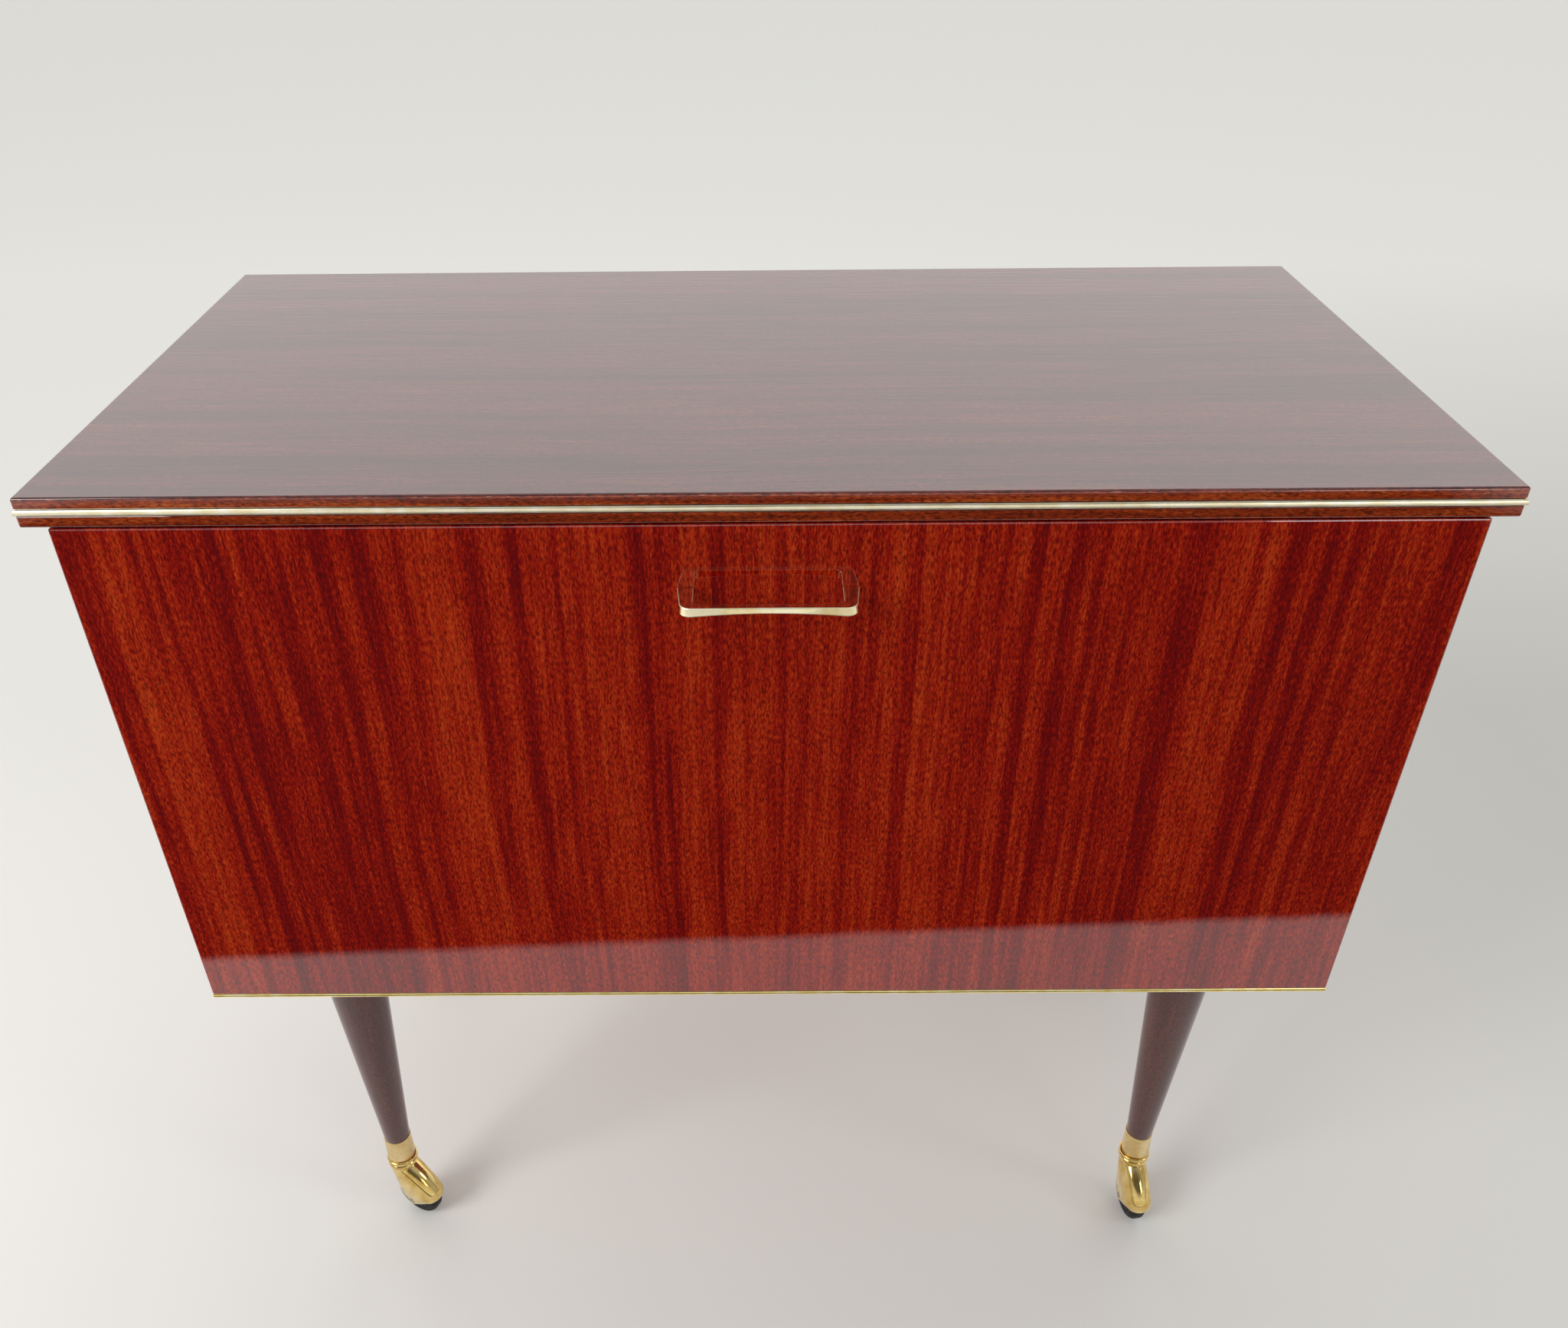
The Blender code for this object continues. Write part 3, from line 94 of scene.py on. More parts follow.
def lacquered_wood(
    name, grain, stops, pore_colour, ribbon=0.009, coat=1.75, relief=0.02, glint_from=None
):
    """Ribbon-striped wood with pores, under a mirror coat, with chips of painted highlight above a height
    if one is given.
    """
    material, tree = blank(name)
    coords = node(tree, "TexCoord").outputs["Object"]
    # The ribbons wander a few millimetres along their length
    wander, wander_length = 0.010, 0.25
    drift = node(tree, "TexNoise", {"Vector": coords, "Scale": 1 / wander_length, "Detail": 1.0})
    bent = node(
        tree, "VectorMath",
        {0: drift.outputs["Color"], 1: (wander, wander, wander), 2: coords}, operation="MULTIPLY_ADD",
    ).outputs[0]
    broad = stretched_noise(tree, bent, grain, across=4 * ribbon, along=1.4, detail=1.0)
    stripe = stretched_noise(tree, bent, grain, across=ribbon, along=0.7, detail=1.5)
    line = stretched_noise(tree, bent, grain, across=0.0028, along=0.06, detail=2.0)
    fleck = stretched_noise(tree, coords, grain, across=0.0010, along=0.0040, detail=2.5)
    # Real pores are finer; these are as coarse as they need to be to show
    pore = stretched_noise(tree, coords, grain, across=0.0014, along=0.0034, detail=1.5)
    # Narrow dark ribbons on a paler ground, broken up by fine lines and many short flecks
    ground = node(
        tree, "MapRange", {"Value": stripe, "From Min": 0.33, "From Max": 0.60},
        interpolation_type="SMOOTHSTEP",
    ).outputs[0]
    # Each pattern's share, on a base that sets the figure in the middle of its colours
    figure = 0.180
    for part, share in ((broad, 0.10), (ground, 0.058), (line, 0.17), (fleck, 0.30)):
        figure = node(tree, "Math", {0: part, 1: share, 2: figure}, operation="MULTIPLY_ADD").outputs[0]
    colour = node(tree, "ValToRGB", {"Fac": figure}, stops=stops).outputs["Color"]
    # Short dark pores, only where the noise peaks
    pores = node(
        tree, "MapRange", {"Value": pore, "From Min": 0.50, "From Max": 0.66, "To Max": 0.604}
    ).outputs[0]
    mixed = node(tree, "Mix", {0: pores, 6: colour, 7: linear(pore_colour)}, data_type="RGBA")
    if glint_from:
        # Small pale chips along the upper arris: a painted highlight, broken up, where the rounded edge
        # catches the light
        height = node(tree, "SeparateXYZ", {0: coords}).outputs["Z"]
        on_arris = node(
            tree, "MapRange", {"Value": height, "From Min": glint_from, "From Max": glint_from + 0.0010}
        ).outputs[0]
        glint_noise = stretched_noise(tree, coords, grain, across=0.0030, along=0.0080, detail=4.0)
        glint_chips = node(tree, "MapRange", {"Value": glint_noise, "From Min": 0.58, "From Max": 0.66}).outputs[0]
        glint_mask = node(tree, "Math", {0: on_arris, 1: glint_chips}, operation="MULTIPLY").outputs[0]
        glint_colour = linear("#C98F78")
        mixed = node(tree, "Mix", {0: glint_mask, 6: mixed.outputs[2], 7: glint_colour}, data_type="RGBA")
    # The lacquer lies almost flat: a faint swell over three centimetres bends its reflections,
    # and the fine lines of the wood lift it a little
    swell_width = 0.0286
    swell = node(tree, "TexNoise", {"Vector": coords, "Scale": 1 / swell_width, "Detail": 1.0})
    lifted = node(tree, "Bump", {"Height": line, "Strength": relief, "Distance": 0.0002})
    bump = node(
        tree, "Bump",
        {
            "Height": swell.outputs["Fac"],
            "Strength": 0.05,
            "Distance": 0.0006,
            "Normal": lifted.outputs[0],
        },
    )
    # The wood under it is open-pored and dull
    grainy = node(tree, "Bump", {"Height": pore, "Strength": 0.15, "Distance": 0.0002})
    rough = node(tree, "MapRange", {"Value": fleck, "To Min": 0.42, "To Max": 0.58})
    shader = node(
        tree, "BsdfPrincipled",
        {
            "Base Color": mixed.outputs[2],
            "Roughness": rough.outputs[0],
            "Normal": grainy.outputs[0],
            "Specular IOR Level": 0.0,
            "Coat Weight": 1.0,
            "Coat Roughness": 0.025,
            "Coat IOR": coat,
            "Coat Normal": bump.outputs[0],
        },
    )
    node(tree, "OutputMaterial", {"Surface": shader.outputs[0]})
    return material


# The axes that a grain can follow: along the cabinet, front to back, or up
ALONG, INWARD, UPRIGHT = 0, 1, 2
MAHOGANY = [
    (0.39, "#4E0208"), (0.46, "#700606"), (0.51, "#8D1706"), (0.56, "#A02D0D"), (0.63, "#B44416"),
]
MAHOGANY_PORES = "#4A0402"
# Deep orange-red ribbons under a mirror coat, running up the boards
upright_veneer = lacquered_wood("mahogany_veneer_lacquered_upright", UPRIGHT, MAHOGANY, MAHOGANY_PORES)
# The same veneer laid along the cabinet
level_veneer = lacquered_wood("mahogany_veneer_lacquered_level", ALONG, MAHOGANY, MAHOGANY_PORES)


def stained_ply(name):
    """Open-grained plywood with a thin brown stain, dull to the eye."""
    material, tree = blank(name)
    coords = node(tree, "TexCoord").outputs["Object"]
    broad = stretched_noise(tree, coords, ALONG, across=0.020, along=0.45, detail=3.0)
    fibre = stretched_noise(tree, coords, ALONG, across=0.0010, along=0.030, detail=2.0)
    both = node(tree, "Math", {0: fibre, 1: 0.45, 2: broad}, operation="MULTIPLY_ADD").outputs[0]
    colour = node(
        tree, "ValToRGB", {"Fac": both},
        stops=[(0.52, "#5A3A24"), (0.70, "#7C5534"), (0.88, "#94693F")],
    )
    bump = node(tree, "Bump", {"Height": fibre, "Strength": 0.35, "Distance": 0.0004})
    rough = node(tree, "MapRange", {"Value": fibre, "To Min": 0.55, "To Max": 0.75})
    shader = node(
        tree, "BsdfPrincipled",
        {
            "Base Color": colour.outputs["Color"],
            "Roughness": rough.outputs[0],
            "Normal": bump.outputs[0],
        },
    )
    node(tree, "OutputMaterial", {"Surface": shader.outputs[0]})
    return material


def paint(material, *names):
    """Gives CAD nodes, whose shape stays, their finished surface."""
    for name in names:
        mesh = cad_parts[name].data
        mesh.materials.clear()
        mesh.materials.append(material)


paint(upright_veneer, "side_panel_left", "side_panel_right")
paint(level_veneer, "bottom_panel", "top_rail_front", "top_rail_back")
paint(stained_ply("plywood_thin_stain"), "back_panel")

# The top: one thick board with solid lipping, its edges rounded over and grooved for a bead.
# Its veneer runs along the cabinet, and the lipping on the ends follows each end.


def smooth(bm, name, angle=35.0):
    """A mesh from a bmesh, facing out, smooth but for its true edges."""
    bmesh.ops.recalc_face_normals(bm, faces=bm.faces)
    mesh = bpy.data.meshes.new(name)
    bm.to_mesh(mesh)
    bm.free()
    mesh.shade_smooth()
    mesh.set_sharp_from_angle(angle=math.radians(angle))
    return mesh


def skin(bm, rings, closed=False):
    """Faces between rings of vertices; a ring may be one point repeated."""
    for upper, lower in zip(rings, rings[1:] + rings[:1] if closed else rings[1:]):
        for i in range(len(upper)):
            j = (i + 1) % len(upper)
            corners = list(dict.fromkeys((upper[i], lower[i], lower[j], upper[j])))
            if len(corners) > 2:
                bm.faces.new(corners)


def skinned(name, rings, angle=35.0):
    """A closed skin over rings of points, with a face across each end; doubled points are merged."""
    bm = bmesh.new()
    rings = [[bm.verts.new(point) for point in ring] for ring in rings]
    skin(bm, rings)
    bm.faces.new(rings[0])
    bm.faces.new(rings[-1])
    bmesh.ops.remove_doubles(bm, verts=bm.verts, dist=0.000001)
    return smooth(bm, name, angle)


def corner_arc(centre, radius, start, end, count):
    """Points along an arc in degrees, both ends included."""
    turns = [math.radians(start + (end - start) * i / (count - 1)) for i in range(count)]
    return [(centre[0] + radius * math.cos(a), centre[1] + radius * math.sin(a)) for a in turns]


def board(name, low, high, corner, edge, least=0.0002):
    """A board whose edge follows (inset, inset at the back, height) points, from its top face down."""
    rings = []
    for inset, back_inset, height in edge:
        radius = max(corner - inset, least)
        left, right = low.x + inset + radius, high.x - inset - radius
        front, back = low.y + inset + radius, high.y - back_inset - radius
        outline = corner_arc((right, back), radius, 0, 90, 6)
        outline += corner_arc((left, back), radius, 90, 180, 6)
        outline += corner_arc((left, front), radius, 180, 270, 6)
        outline += corner_arc((right, front), radius, 270, 360, 6)
        rings.append([(x, y, height) for x, y in outline])
    return skinned(name, rings)


def add_piece(name, mesh, material, body, slot, *replaced):
    """Puts a finished piece on a body, in place of CAD nodes."""
    if not mesh.materials:
        mesh.materials.append(material)
    piece = bpy.data.objects.new(name, mesh)
    bpy.context.scene.collection.objects.link(piece)
    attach(piece, body)
    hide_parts(*replaced)
    return piece


def flatten_normals(piece):
    """Keeps wide flat faces flat where a rounded edge runs into them."""
    weighted = piece.modifiers.new("flat_faces", "WEIGHTED_NORMAL")
    weighted.keep_sharp = True


top_low, top_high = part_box("top_panel")
bead_low, bead_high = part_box("top_bead")
TOP_CORNER, ARRIS, GROOVE_DEPTH, CLEARANCE = 0.0012, 0.0018, 0.0029, 0.0003
# The third size is how far down from the top the painted highlight chips on the arris reach
LIP_IN, LIP_UP, GLINT_DEPTH, STEEP = 0.0003, 0.0004, 0.0016, 0.6
round_over = corner_arc((ARRIS, ARRIS), ARRIS, 270, 180, 7)
# The groove runs round the front and both ends, and its lips are eased
groove_lip = [(0.0, LIP_UP), (LIP_IN, 0.0), (GROOVE_DEPTH, 0.0)]
top_edge = [(inset, inset, top_high.z - drop) for inset, drop in round_over]
top_edge += [(inset, 0.0, bead_high.z + CLEARANCE + rise) for inset, rise in groove_lip]
top_edge += [(inset, 0.0, bead_low.z - CLEARANCE - rise) for inset, rise in reversed(groove_lip)]
top_edge += [(inset, inset, top_low.z + drop) for inset, drop in reversed(round_over)]
top_mesh = board("top_board", top_low, top_high, TOP_CORNER, top_edge)
# Browner than the flap, with quiet streaks along the cabinet
TOP_BROWN = [(0.41, "#300B09"), (0.51, "#541B15"), (0.60, "#773228")]
top_veneer = lacquered_wood(
    "mahogany_veneer_lacquered_top", ALONG, TOP_BROWN, "#2A0B08", ribbon=0.018, relief=0.7
)
top_mesh.materials.append(top_veneer)
# Red-brown solid wood, its grain along the front and along each end, with chips of painted highlight along
# its upper arris
LIPPING = [(0.39, "#4C1206"), (0.51, "#822C0E"), (0.63, "#B05822")]
for place, grain in (("front", ALONG), ("ends", INWARD)):
    lipping = lacquered_wood(
        "mahogany_lipping_lacquered_" + place, grain, LIPPING, "#300803",
        ribbon=0.004, glint_from=top_high.z - GLINT_DEPTH,
    )
    top_mesh.materials.append(lipping)
for face in top_mesh.polygons:
    if abs(face.normal.z) < STEEP:
        face.material_index = 2 if abs(face.normal.x) > STEEP else 1
flatten_normals(add_piece("top_board", top_mesh, top_veneer, "carcass", "mahogany", "top_panel"))

# The bead round the top: drawn half-round brass, mitred at the corners and pinned in its groove.
# Polished, with fine lines drawn along it.


def worked_metal(name, roughness, stops, grain=ALONG, spread=0.08, scratch=0.0006):
    """Brass or plated steel; drawn or turned lines soften its reflections along the grain."""
    material, tree = blank(name)
    coords = node(tree, "TexCoord").outputs["Object"]
    cloud_width = 0.0111
    cloud = node(tree, "TexNoise", {"Vector": coords, "Scale": 1 / cloud_width, "Detail": 3.0})
    # Real lines are finer; these are as coarse as they need to be to show
    lines = stretched_noise(tree, coords, grain, across=scratch, along=0.03, detail=2.0)
    colour = node(tree, "ValToRGB", {"Fac": cloud.outputs["Fac"]}, stops=stops)
    rough = node(
        tree, "MapRange",
        {
            "Value": lines,
            "From Min": 0.3,
            "From Max": 0.7,
            "To Min": max(roughness - spread, 0.02),
            "To Max": roughness + spread,
        },
    )
    bump = node(tree, "Bump", {"Height": lines, "Strength": 0.08, "Distance": 0.0001})
    shader = node(
        tree, "BsdfPrincipled",
        {
            "Base Color": colour.outputs["Color"],
            "Roughness": rough.outputs[0],
            "Normal": bump.outputs[0],
            "Metallic": 1.0,
        },
    )
    node(tree, "OutputMaterial", {"Surface": shader.outputs[0]})
    return material


# Pale gold with soft straight streaks
drawn_brass = worked_metal(
    "brass_drawn_polished", 0.30, [(0.35, "#E8DAB4"), (0.5, "#EFE4C4"), (0.65, "#F5EDD6")]
)


def mitred_band(name, profile, back_y):
    """A band round the front and ends of the top, from (reach past the edge, height) points."""
    rings = []
    for sign, at_front in ((-1, False), (-1, True), (1, True), (1, False)):
        ring = []
        for reach, height in profile:
            ring.append((sign * (top_high.x + reach), top_low.y - reach if at_front else back_y, height))
        rings.append(ring)
    return skinned(name, rings, 32.0)


BEAD_PROUD, BEAD_SEAT, BEAD_BELLY, BEAD_ROOT, BEAD_FULLNESS = 0.0009, 0.0026, 0.25, 1.2, 0.8
BEAD_STEPS = 16
bead_height = bead_high.z - bead_low.z
# Its belly sits low, so that most of its face leans back to the light
bead_profile = [(-BEAD_SEAT, bead_high.z)]
for step in range(BEAD_STEPS + 1):
    turn = math.radians(90 - 180 * step / BEAD_STEPS)
    fullness = max(0.0, math.cos(turn)) ** BEAD_FULLNESS
    reach = BEAD_PROUD * ((1 + BEAD_ROOT) * fullness - BEAD_ROOT)
    rise = (1 - BEAD_BELLY if turn > 0 else BEAD_BELLY) * math.sin(turn)
    bead_profile.append((reach, bead_low.z + bead_height * (BEAD_BELLY + rise)))
bead_profile.append((-BEAD_SEAT, bead_low.z))
add_piece(
    "top_edge_bead", mitred_band("top_edge_bead", bead_profile, bead_high.y), drawn_brass,
    "carcass", "brass", "top_bead",
)

# The legs: turned beech, tapered straight from a rounded shoulder to the ferrule.
# Stained red-brown to go with the veneer and finished in the same gloss lacquer.
# A spigot passes a steel plate with four screws and enters the cabinet floor.


def turned(name, profile, steps=64, closed=False):
    """A shape turned about Z from (radius, height) points that run down its outer side."""
    bm = bmesh.new()
    rings = []
    for radius, height in profile:
        if radius == 0:
            rings.append([bm.verts.new((0.0, 0.0, height))] * steps)
            continue
        turns = [math.tau * i / steps for i in range(steps)]
        rings.append([bm.verts.new((radius * math.cos(a), radius * math.sin(a), height)) for a in turns])
    skin(bm, rings, closed)
    return smooth(bm, name)


# The four corners, and the way that each one's caster points at rest, in degrees
CORNERS = {"front_left": -28.0, "front_right": -83.0, "back_left": -60.0, "back_right": -102.0}
ferrule_foot, ferrule_top = [corner.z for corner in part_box("ferrule_front_left")]
leg_foot, leg_peak = [corner.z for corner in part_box("leg_front_left")]
plate_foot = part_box("leg_plate_front_left")[0].z
LEG_TOP_RADIUS, LEG_FOOT_RADIUS, SHOULDER, SPIGOT, TENON = 0.0222, 0.0108, 0.0025, 0.005, 0.0097
leg_top, leg_end = plate_foot - CLEARANCE, ferrule_top + CLEARANCE
leg_profile = [(0, leg_peak), (SPIGOT, leg_peak), (SPIGOT, leg_top)]
leg_profile += corner_arc((LEG_TOP_RADIUS - SHOULDER, leg_top - SHOULDER), SHOULDER, 90, 0, 9)
leg_profile += [(LEG_FOOT_RADIUS, leg_end), (TENON, leg_end), (TENON, leg_foot), (0, leg_foot)]
# Brown-red with a faint straight grain, and pale rims where the coat catches the floor
leg_wood = lacquered_wood(
    "beech_stained_lacquered", UPRIGHT,
    [(0.39, "#3A1511"), (0.51, "#50221B"), (0.63, "#633026")], "#280E0B", coat=1.6,
)
# Cool grey, cloudy and half dull
zinc = worked_metal(
    "steel_zinc_plated", 0.34, [(0.35, "#9A9A98"), (0.5, "#B4B4B0"), (0.65, "#C4C5C2")], spread=0.10
)


def centre_of(name):
    """The middle of a CAD node's box, seen from above."""
    low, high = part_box(name)
    return Vector(((low.x + high.x) / 2, (low.y + high.y) / 2, 0.0))


def screw_head(name, radius):
    """A raised countersunk head with a straight slot, lying on z = 0."""
    bm = bmesh.new()
    slot_half, dome, lift, sunk, points = radius * 0.14, radius * 0.30, 0.0001, 0.0004, 24
    rings = []
    for share in (1.0, 0.9, 0.6, 0.3):
        height = dome * (1 - share**2) + lift
        ring = []
        for i in range(points):
            turn = math.tau * i / points
            x, y = radius * share * math.cos(turn), radius * share * math.sin(turn)
            ring.append(bm.verts.new((x, y, height if abs(y) > slot_half else height - dome * 0.7)))
        rings.append(ring)
    rings.insert(0, [bm.verts.new((v.co.x, v.co.y, -sunk)) for v in rings[0]])
    rings.append([bm.verts.new((0.0, 0.0, dome * 0.3))] * points)
    skin(bm, rings)
    bm.faces.new(rings[0])
    return smooth(bm, name, 20.0)


def screws(name, radius, material, body, slot, places):
    """Screw heads in one mesh; each place is where a head sits and the way that it faces."""
    head = screw_head(name + "_head", radius)
    bm = bmesh.new()
    for count, (point, normal) in enumerate(places):
        before = len(bm.verts)
        bm.from_mesh(head)
        bm.verts.ensure_lookup_table()
        stand = Vector(normal).to_track_quat("Z", "Y").to_matrix().to_4x4()
        slot_turn = Matrix.Rotation(math.radians(37 * count), 4, "Z")
        seat = Matrix.Translation(point) @ stand @ slot_turn
        bmesh.ops.transform(bm, matrix=seat, verts=bm.verts[before:])
    bpy.data.meshes.remove(head)
    add_piece(name, smooth(bm, name, 20.0), material, body, slot)


PLATE_SCREW, PLATE_SCREW_OUT, HEAD_SEAT = 0.0036, 0.018, 0.0001
plate_screws = []
for corner in CORNERS:
    foot = centre_of("leg_" + corner)
    mesh = turned("turned_leg_" + corner, leg_profile)
    mesh.transform(Matrix.Translation(foot))
    add_piece("turned_leg_" + corner, mesh, leg_wood, "carcass", "leg_wood", "leg_" + corner)
    paint(zinc, "leg_plate_" + corner)
    for x in (-PLATE_SCREW_OUT, PLATE_SCREW_OUT):
        for y in (-PLATE_SCREW_OUT, PLATE_SCREW_OUT):
            plate_screws.append((foot + Vector((x, y, plate_foot - HEAD_SEAT)), (0, 0, -1)))
screws("leg_plate_screws", PLATE_SCREW, zinc, "carcass", "steel", plate_screws)

# The ferrules: cups pressed from brass tube, driven on to the tenon of each leg.
# The wall is satin from the lathe, with a rolled lip above and a small round at its foot.
FERRULE_RIM, FERRULE_BORE, FERRULE_FLOOR, STEM_HOLE = 0.0112, 0.0103, 0.002, 0.0043
rolled_lip = [
    (FERRULE_BORE, ferrule_top - 0.0006), (FERRULE_BORE + 0.0003, ferrule_top),
    (FERRULE_RIM, ferrule_top - 0.0002), (FERRULE_RIM + 0.0001, ferrule_top - 0.0010),
    (FERRULE_RIM, ferrule_top - 0.0018),
]
round_foot = [
    (FERRULE_RIM + 0.0005, ferrule_foot + 0.0012), (FERRULE_RIM + 0.0003, ferrule_foot + 0.0004),
    (FERRULE_RIM - 0.0003, ferrule_foot),
]
pierced_floor = [
    (STEM_HOLE, ferrule_foot), (STEM_HOLE, ferrule_foot + FERRULE_FLOOR),
    (FERRULE_BORE, ferrule_foot + FERRULE_FLOOR),
]
# Soft gold with wide dull highlights
satin_brass = worked_metal(
    "brass_turned_satin", 0.36, [(0.35, "#D2B77C"), (0.5, "#DDC58E"), (0.65, "#E6D09E")],
    grain=UPRIGHT, spread=0.06,
)
for corner in CORNERS:
    mesh = turned("pressed_ferrule_" + corner, rolled_lip + round_foot + pierced_floor, closed=True)
    mesh.transform(Matrix.Translation(centre_of("ferrule_" + corner)))
    add_piece("pressed_ferrule_" + corner, mesh, satin_brass, "carcass", "brass", "ferrule_" + corner)

# The casters: a cast brass hood with a beaded collar, polished all over, turns on a steel stem.
# A black rubber-tyred wheel runs on an axle across its cheeks and shows below the rim.
wheel_low, wheel_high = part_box("caster_wheel_front_left")
collar_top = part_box("caster_hood_front_left")[1].z
stem_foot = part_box("caster_stem_front_left")[0].z
AXLE_Z, TRAIL, AXLE_HOLE = (wheel_low.z + wheel_high.z) / 2, 0.012, 0.0023
WHEEL_RADIUS, WHEEL_HALF, TREAD = AXLE_Z, 0.0068, 0.005
ROOM, ROOM_HALF, ROOM_POWER = 0.0222, 0.0078, 3.5
HOOD_HALF, HOOD_FRONT, RIDGE_BOW = 0.0112, 0.0359, 0.0020
CROWN_DROP, NOSE_RISE, HEEL_BACK, HEEL_DROP = 0.0065, 0.0088, 0.005, 0.0067
COLLAR, STEP, COLLAR_HEIGHT, COLLAR_SEAT, SEAT_HEIGHT = 0.0129, 0.0013, 0.0105, 0.0098, 0.0008
NECK_TOP, NECK_FOOT, NECK_DEPTH = HOOD_HALF + 0.0004, HOOD_HALF - 0.0022, 0.0020
NOSE_RIM, AXLE_RIM, REAR_SLOPE, REAR_INSET = 0.027, 0.0155, math.radians(46), 0.001
HOOD_SLICES, ARC_POINTS, COLLAR_STEPS, ROOM_STEPS = 32, 25, 10, 24


def facing(before, after, last=180.0):
    """The way that an edge's outer side faces, in degrees, turning down from the last one."""
    angle = math.degrees(math.atan2(after.x - before.x, before.y - after.y))
    return last - (last - angle) % 360


# The hood swells evenly about a triangle of crown, nose and heel, whose ridge is slightly bowed
crown = Vector((0.0, collar_top - COLLAR_HEIGHT - CROWN_DROP))
nose = Vector((HOOD_FRONT - HOOD_HALF, AXLE_Z + NOSE_RISE))
heel = Vector((TRAIL - HEEL_BACK, AXLE_Z - HEEL_DROP))
rear = facing(heel, crown)
ridge = facing(crown, nose, rear)
under = facing(nose, heel, ridge)
half_ridge = (nose - crown).length / 2
ridge_radius = (half_ridge**2 + RIDGE_BOW**2) / (2 * RIDGE_BOW)
bow = math.degrees(math.asin(half_ridge / ridge_radius))
outward = Vector((math.cos(math.radians(ridge)), math.sin(math.radians(ridge))))
ridge_centre = (crown + nose) / 2 - outward * (ridge_radius - RIDGE_BOW)
hood_arcs = [(crown, 0.0, rear, ridge + bow), (ridge_centre, ridge_radius, ridge + bow, ridge - bow)]
hood_arcs += [(nose, 0.0, ridge - bow, under), (heel, 0.0, under, rear - 360)]
hood_rings = []
for i in range(HOOD_SLICES + 1):
    tilt = math.pi * (i / HOOD_SLICES - 0.5)
    outline = []
    for centre, radius, start, end in hood_arcs:
        outline += corner_arc(centre, radius + HOOD_HALF * math.cos(tilt), start, end, ARC_POINTS)
    hood_rings.append([(x, HOOD_HALF * math.sin(tilt), z) for x, z in outline])
# Two beads round the collar, each from a share of its height down, and a neck into the hood
collar_profile = [(0, collar_top), (COLLAR_SEAT, collar_top), (COLLAR_SEAT, collar_top - SEAT_HEIGHT)]
for share, half_width in ((0.08, 0.19), (0.48, 0.22)):
    for i in range(COLLAR_STEPS + 1):
        down_share = share + 2 * half_width * i / COLLAR_STEPS
        swell = math.sqrt(max(0.0, 1 - ((down_share - share) / half_width - 1) ** 2))
        collar_profile.append((COLLAR - STEP + STEP * swell, collar_top - down_share * COLLAR_HEIGHT))
collar_foot = crown.y - NECK_DEPTH
collar_profile += [(NECK_TOP, collar_top - COLLAR_HEIGHT), (NECK_FOOT, collar_foot), (0, collar_foot)]
# The wheel's room follows the tyre's rounded section and is open below
room_rings = []
for i in range(3, ROOM_STEPS + 2):
    lean = math.radians(min(90, 90 * i / ROOM_STEPS))
    reach = ROOM * math.sin(lean)
    half = ROOM_HALF * (1 - math.cos(lean) ** ROOM_POWER) ** (1 / ROOM_POWER)
    height = AXLE_Z + ROOM * math.cos(lean) if i <= ROOM_STEPS else -AXLE_RIM
    ring = []
    for cosine, sine in corner_arc((0, 0), 1, 0, 355, 72):
        along = math.copysign(abs(cosine) ** (2 / ROOM_POWER), cosine)
        aside = math.copysign(abs(sine) ** (2 / ROOM_POWER), sine)
        ring.append((TRAIL + reach * along, half * aside, height))
    room_rings.append(ring)


def wedge(name, point, slope, size=0.3):
    """A large block whose top face passes through a point at a slope, to trim a rim."""
    bm = bmesh.new()
    bmesh.ops.create_cube(bm, size=size, matrix=Matrix.Translation((0, 0, -size / 2)))
    mesh = smooth(bm, name)
    mesh.transform(Matrix.Translation(point) @ Matrix.Rotation(slope, 4, "Y"))
    return mesh


def carved(name, mesh, joined, *tools):
    """The mesh with a second one joined on, the tools cut out of both and the cut edges eased."""
    piece = bpy.data.objects.new(name, mesh)
    bpy.context.scene.collection.objects.link(piece)
    blocks = []
    for tool in (joined, *tools):
        block = bpy.data.objects.new(tool.name, tool)
        bpy.context.scene.collection.objects.link(block)
        cut = piece.modifiers.new(tool.name, "BOOLEAN")
        cut.operation = "UNION" if tool is joined else "DIFFERENCE"
        cut.solver = "EXACT"
        cut.object = block
        blocks.append(block)
    eased = piece.modifiers.new("eased", "BEVEL")
    eased.width, eased.segments, eased.limit_method = 0.0004, 2, "ANGLE"
    eased.angle_limit = math.radians(50)
    bpy.context.view_layer.update()
    result = bpy.data.meshes.new_from_object(piece.evaluated_get(bpy.context.evaluated_depsgraph_get()))
    result.name = name
    for gone in (piece, *blocks):
        bpy.data.objects.remove(gone, do_unlink=True)
    result.materials.clear()
    result.shade_smooth()
    result.set_sharp_from_angle(angle=math.radians(35))
    return result


def drill(name, radius, top, foot):
    """A rod about Z, to cut a round hole."""
    return turned(name, [(0, top), (radius, top), (radius, foot), (0, foot)], 32)


nose_slope = -math.atan2(NOSE_RIM - AXLE_RIM, HOOD_FRONT - TRAIL)
on_axle = Matrix.Translation((TRAIL, 0, AXLE_Z)) @ Matrix.Rotation(math.radians(90), 4, "X")
axle_hole = drill("axle_hole", AXLE_HOLE, 0.05, -0.05)
axle_hole.transform(on_axle)
hood_mesh = carved(
    "cast_hood", skinned("cast_hood_skin", hood_rings), turned("collar", collar_profile),
    skinned("wheel_room", room_rings), wedge("nose_trim", (TRAIL, 0, AXLE_RIM), nose_slope),
    wedge("rear_trim", (TRAIL - REAR_INSET, 0, AXLE_RIM), REAR_SLOPE), axle_hole,
    drill("stem_hole", STEM_HOLE, 0.1, stem_foot - CLEARANCE),
)
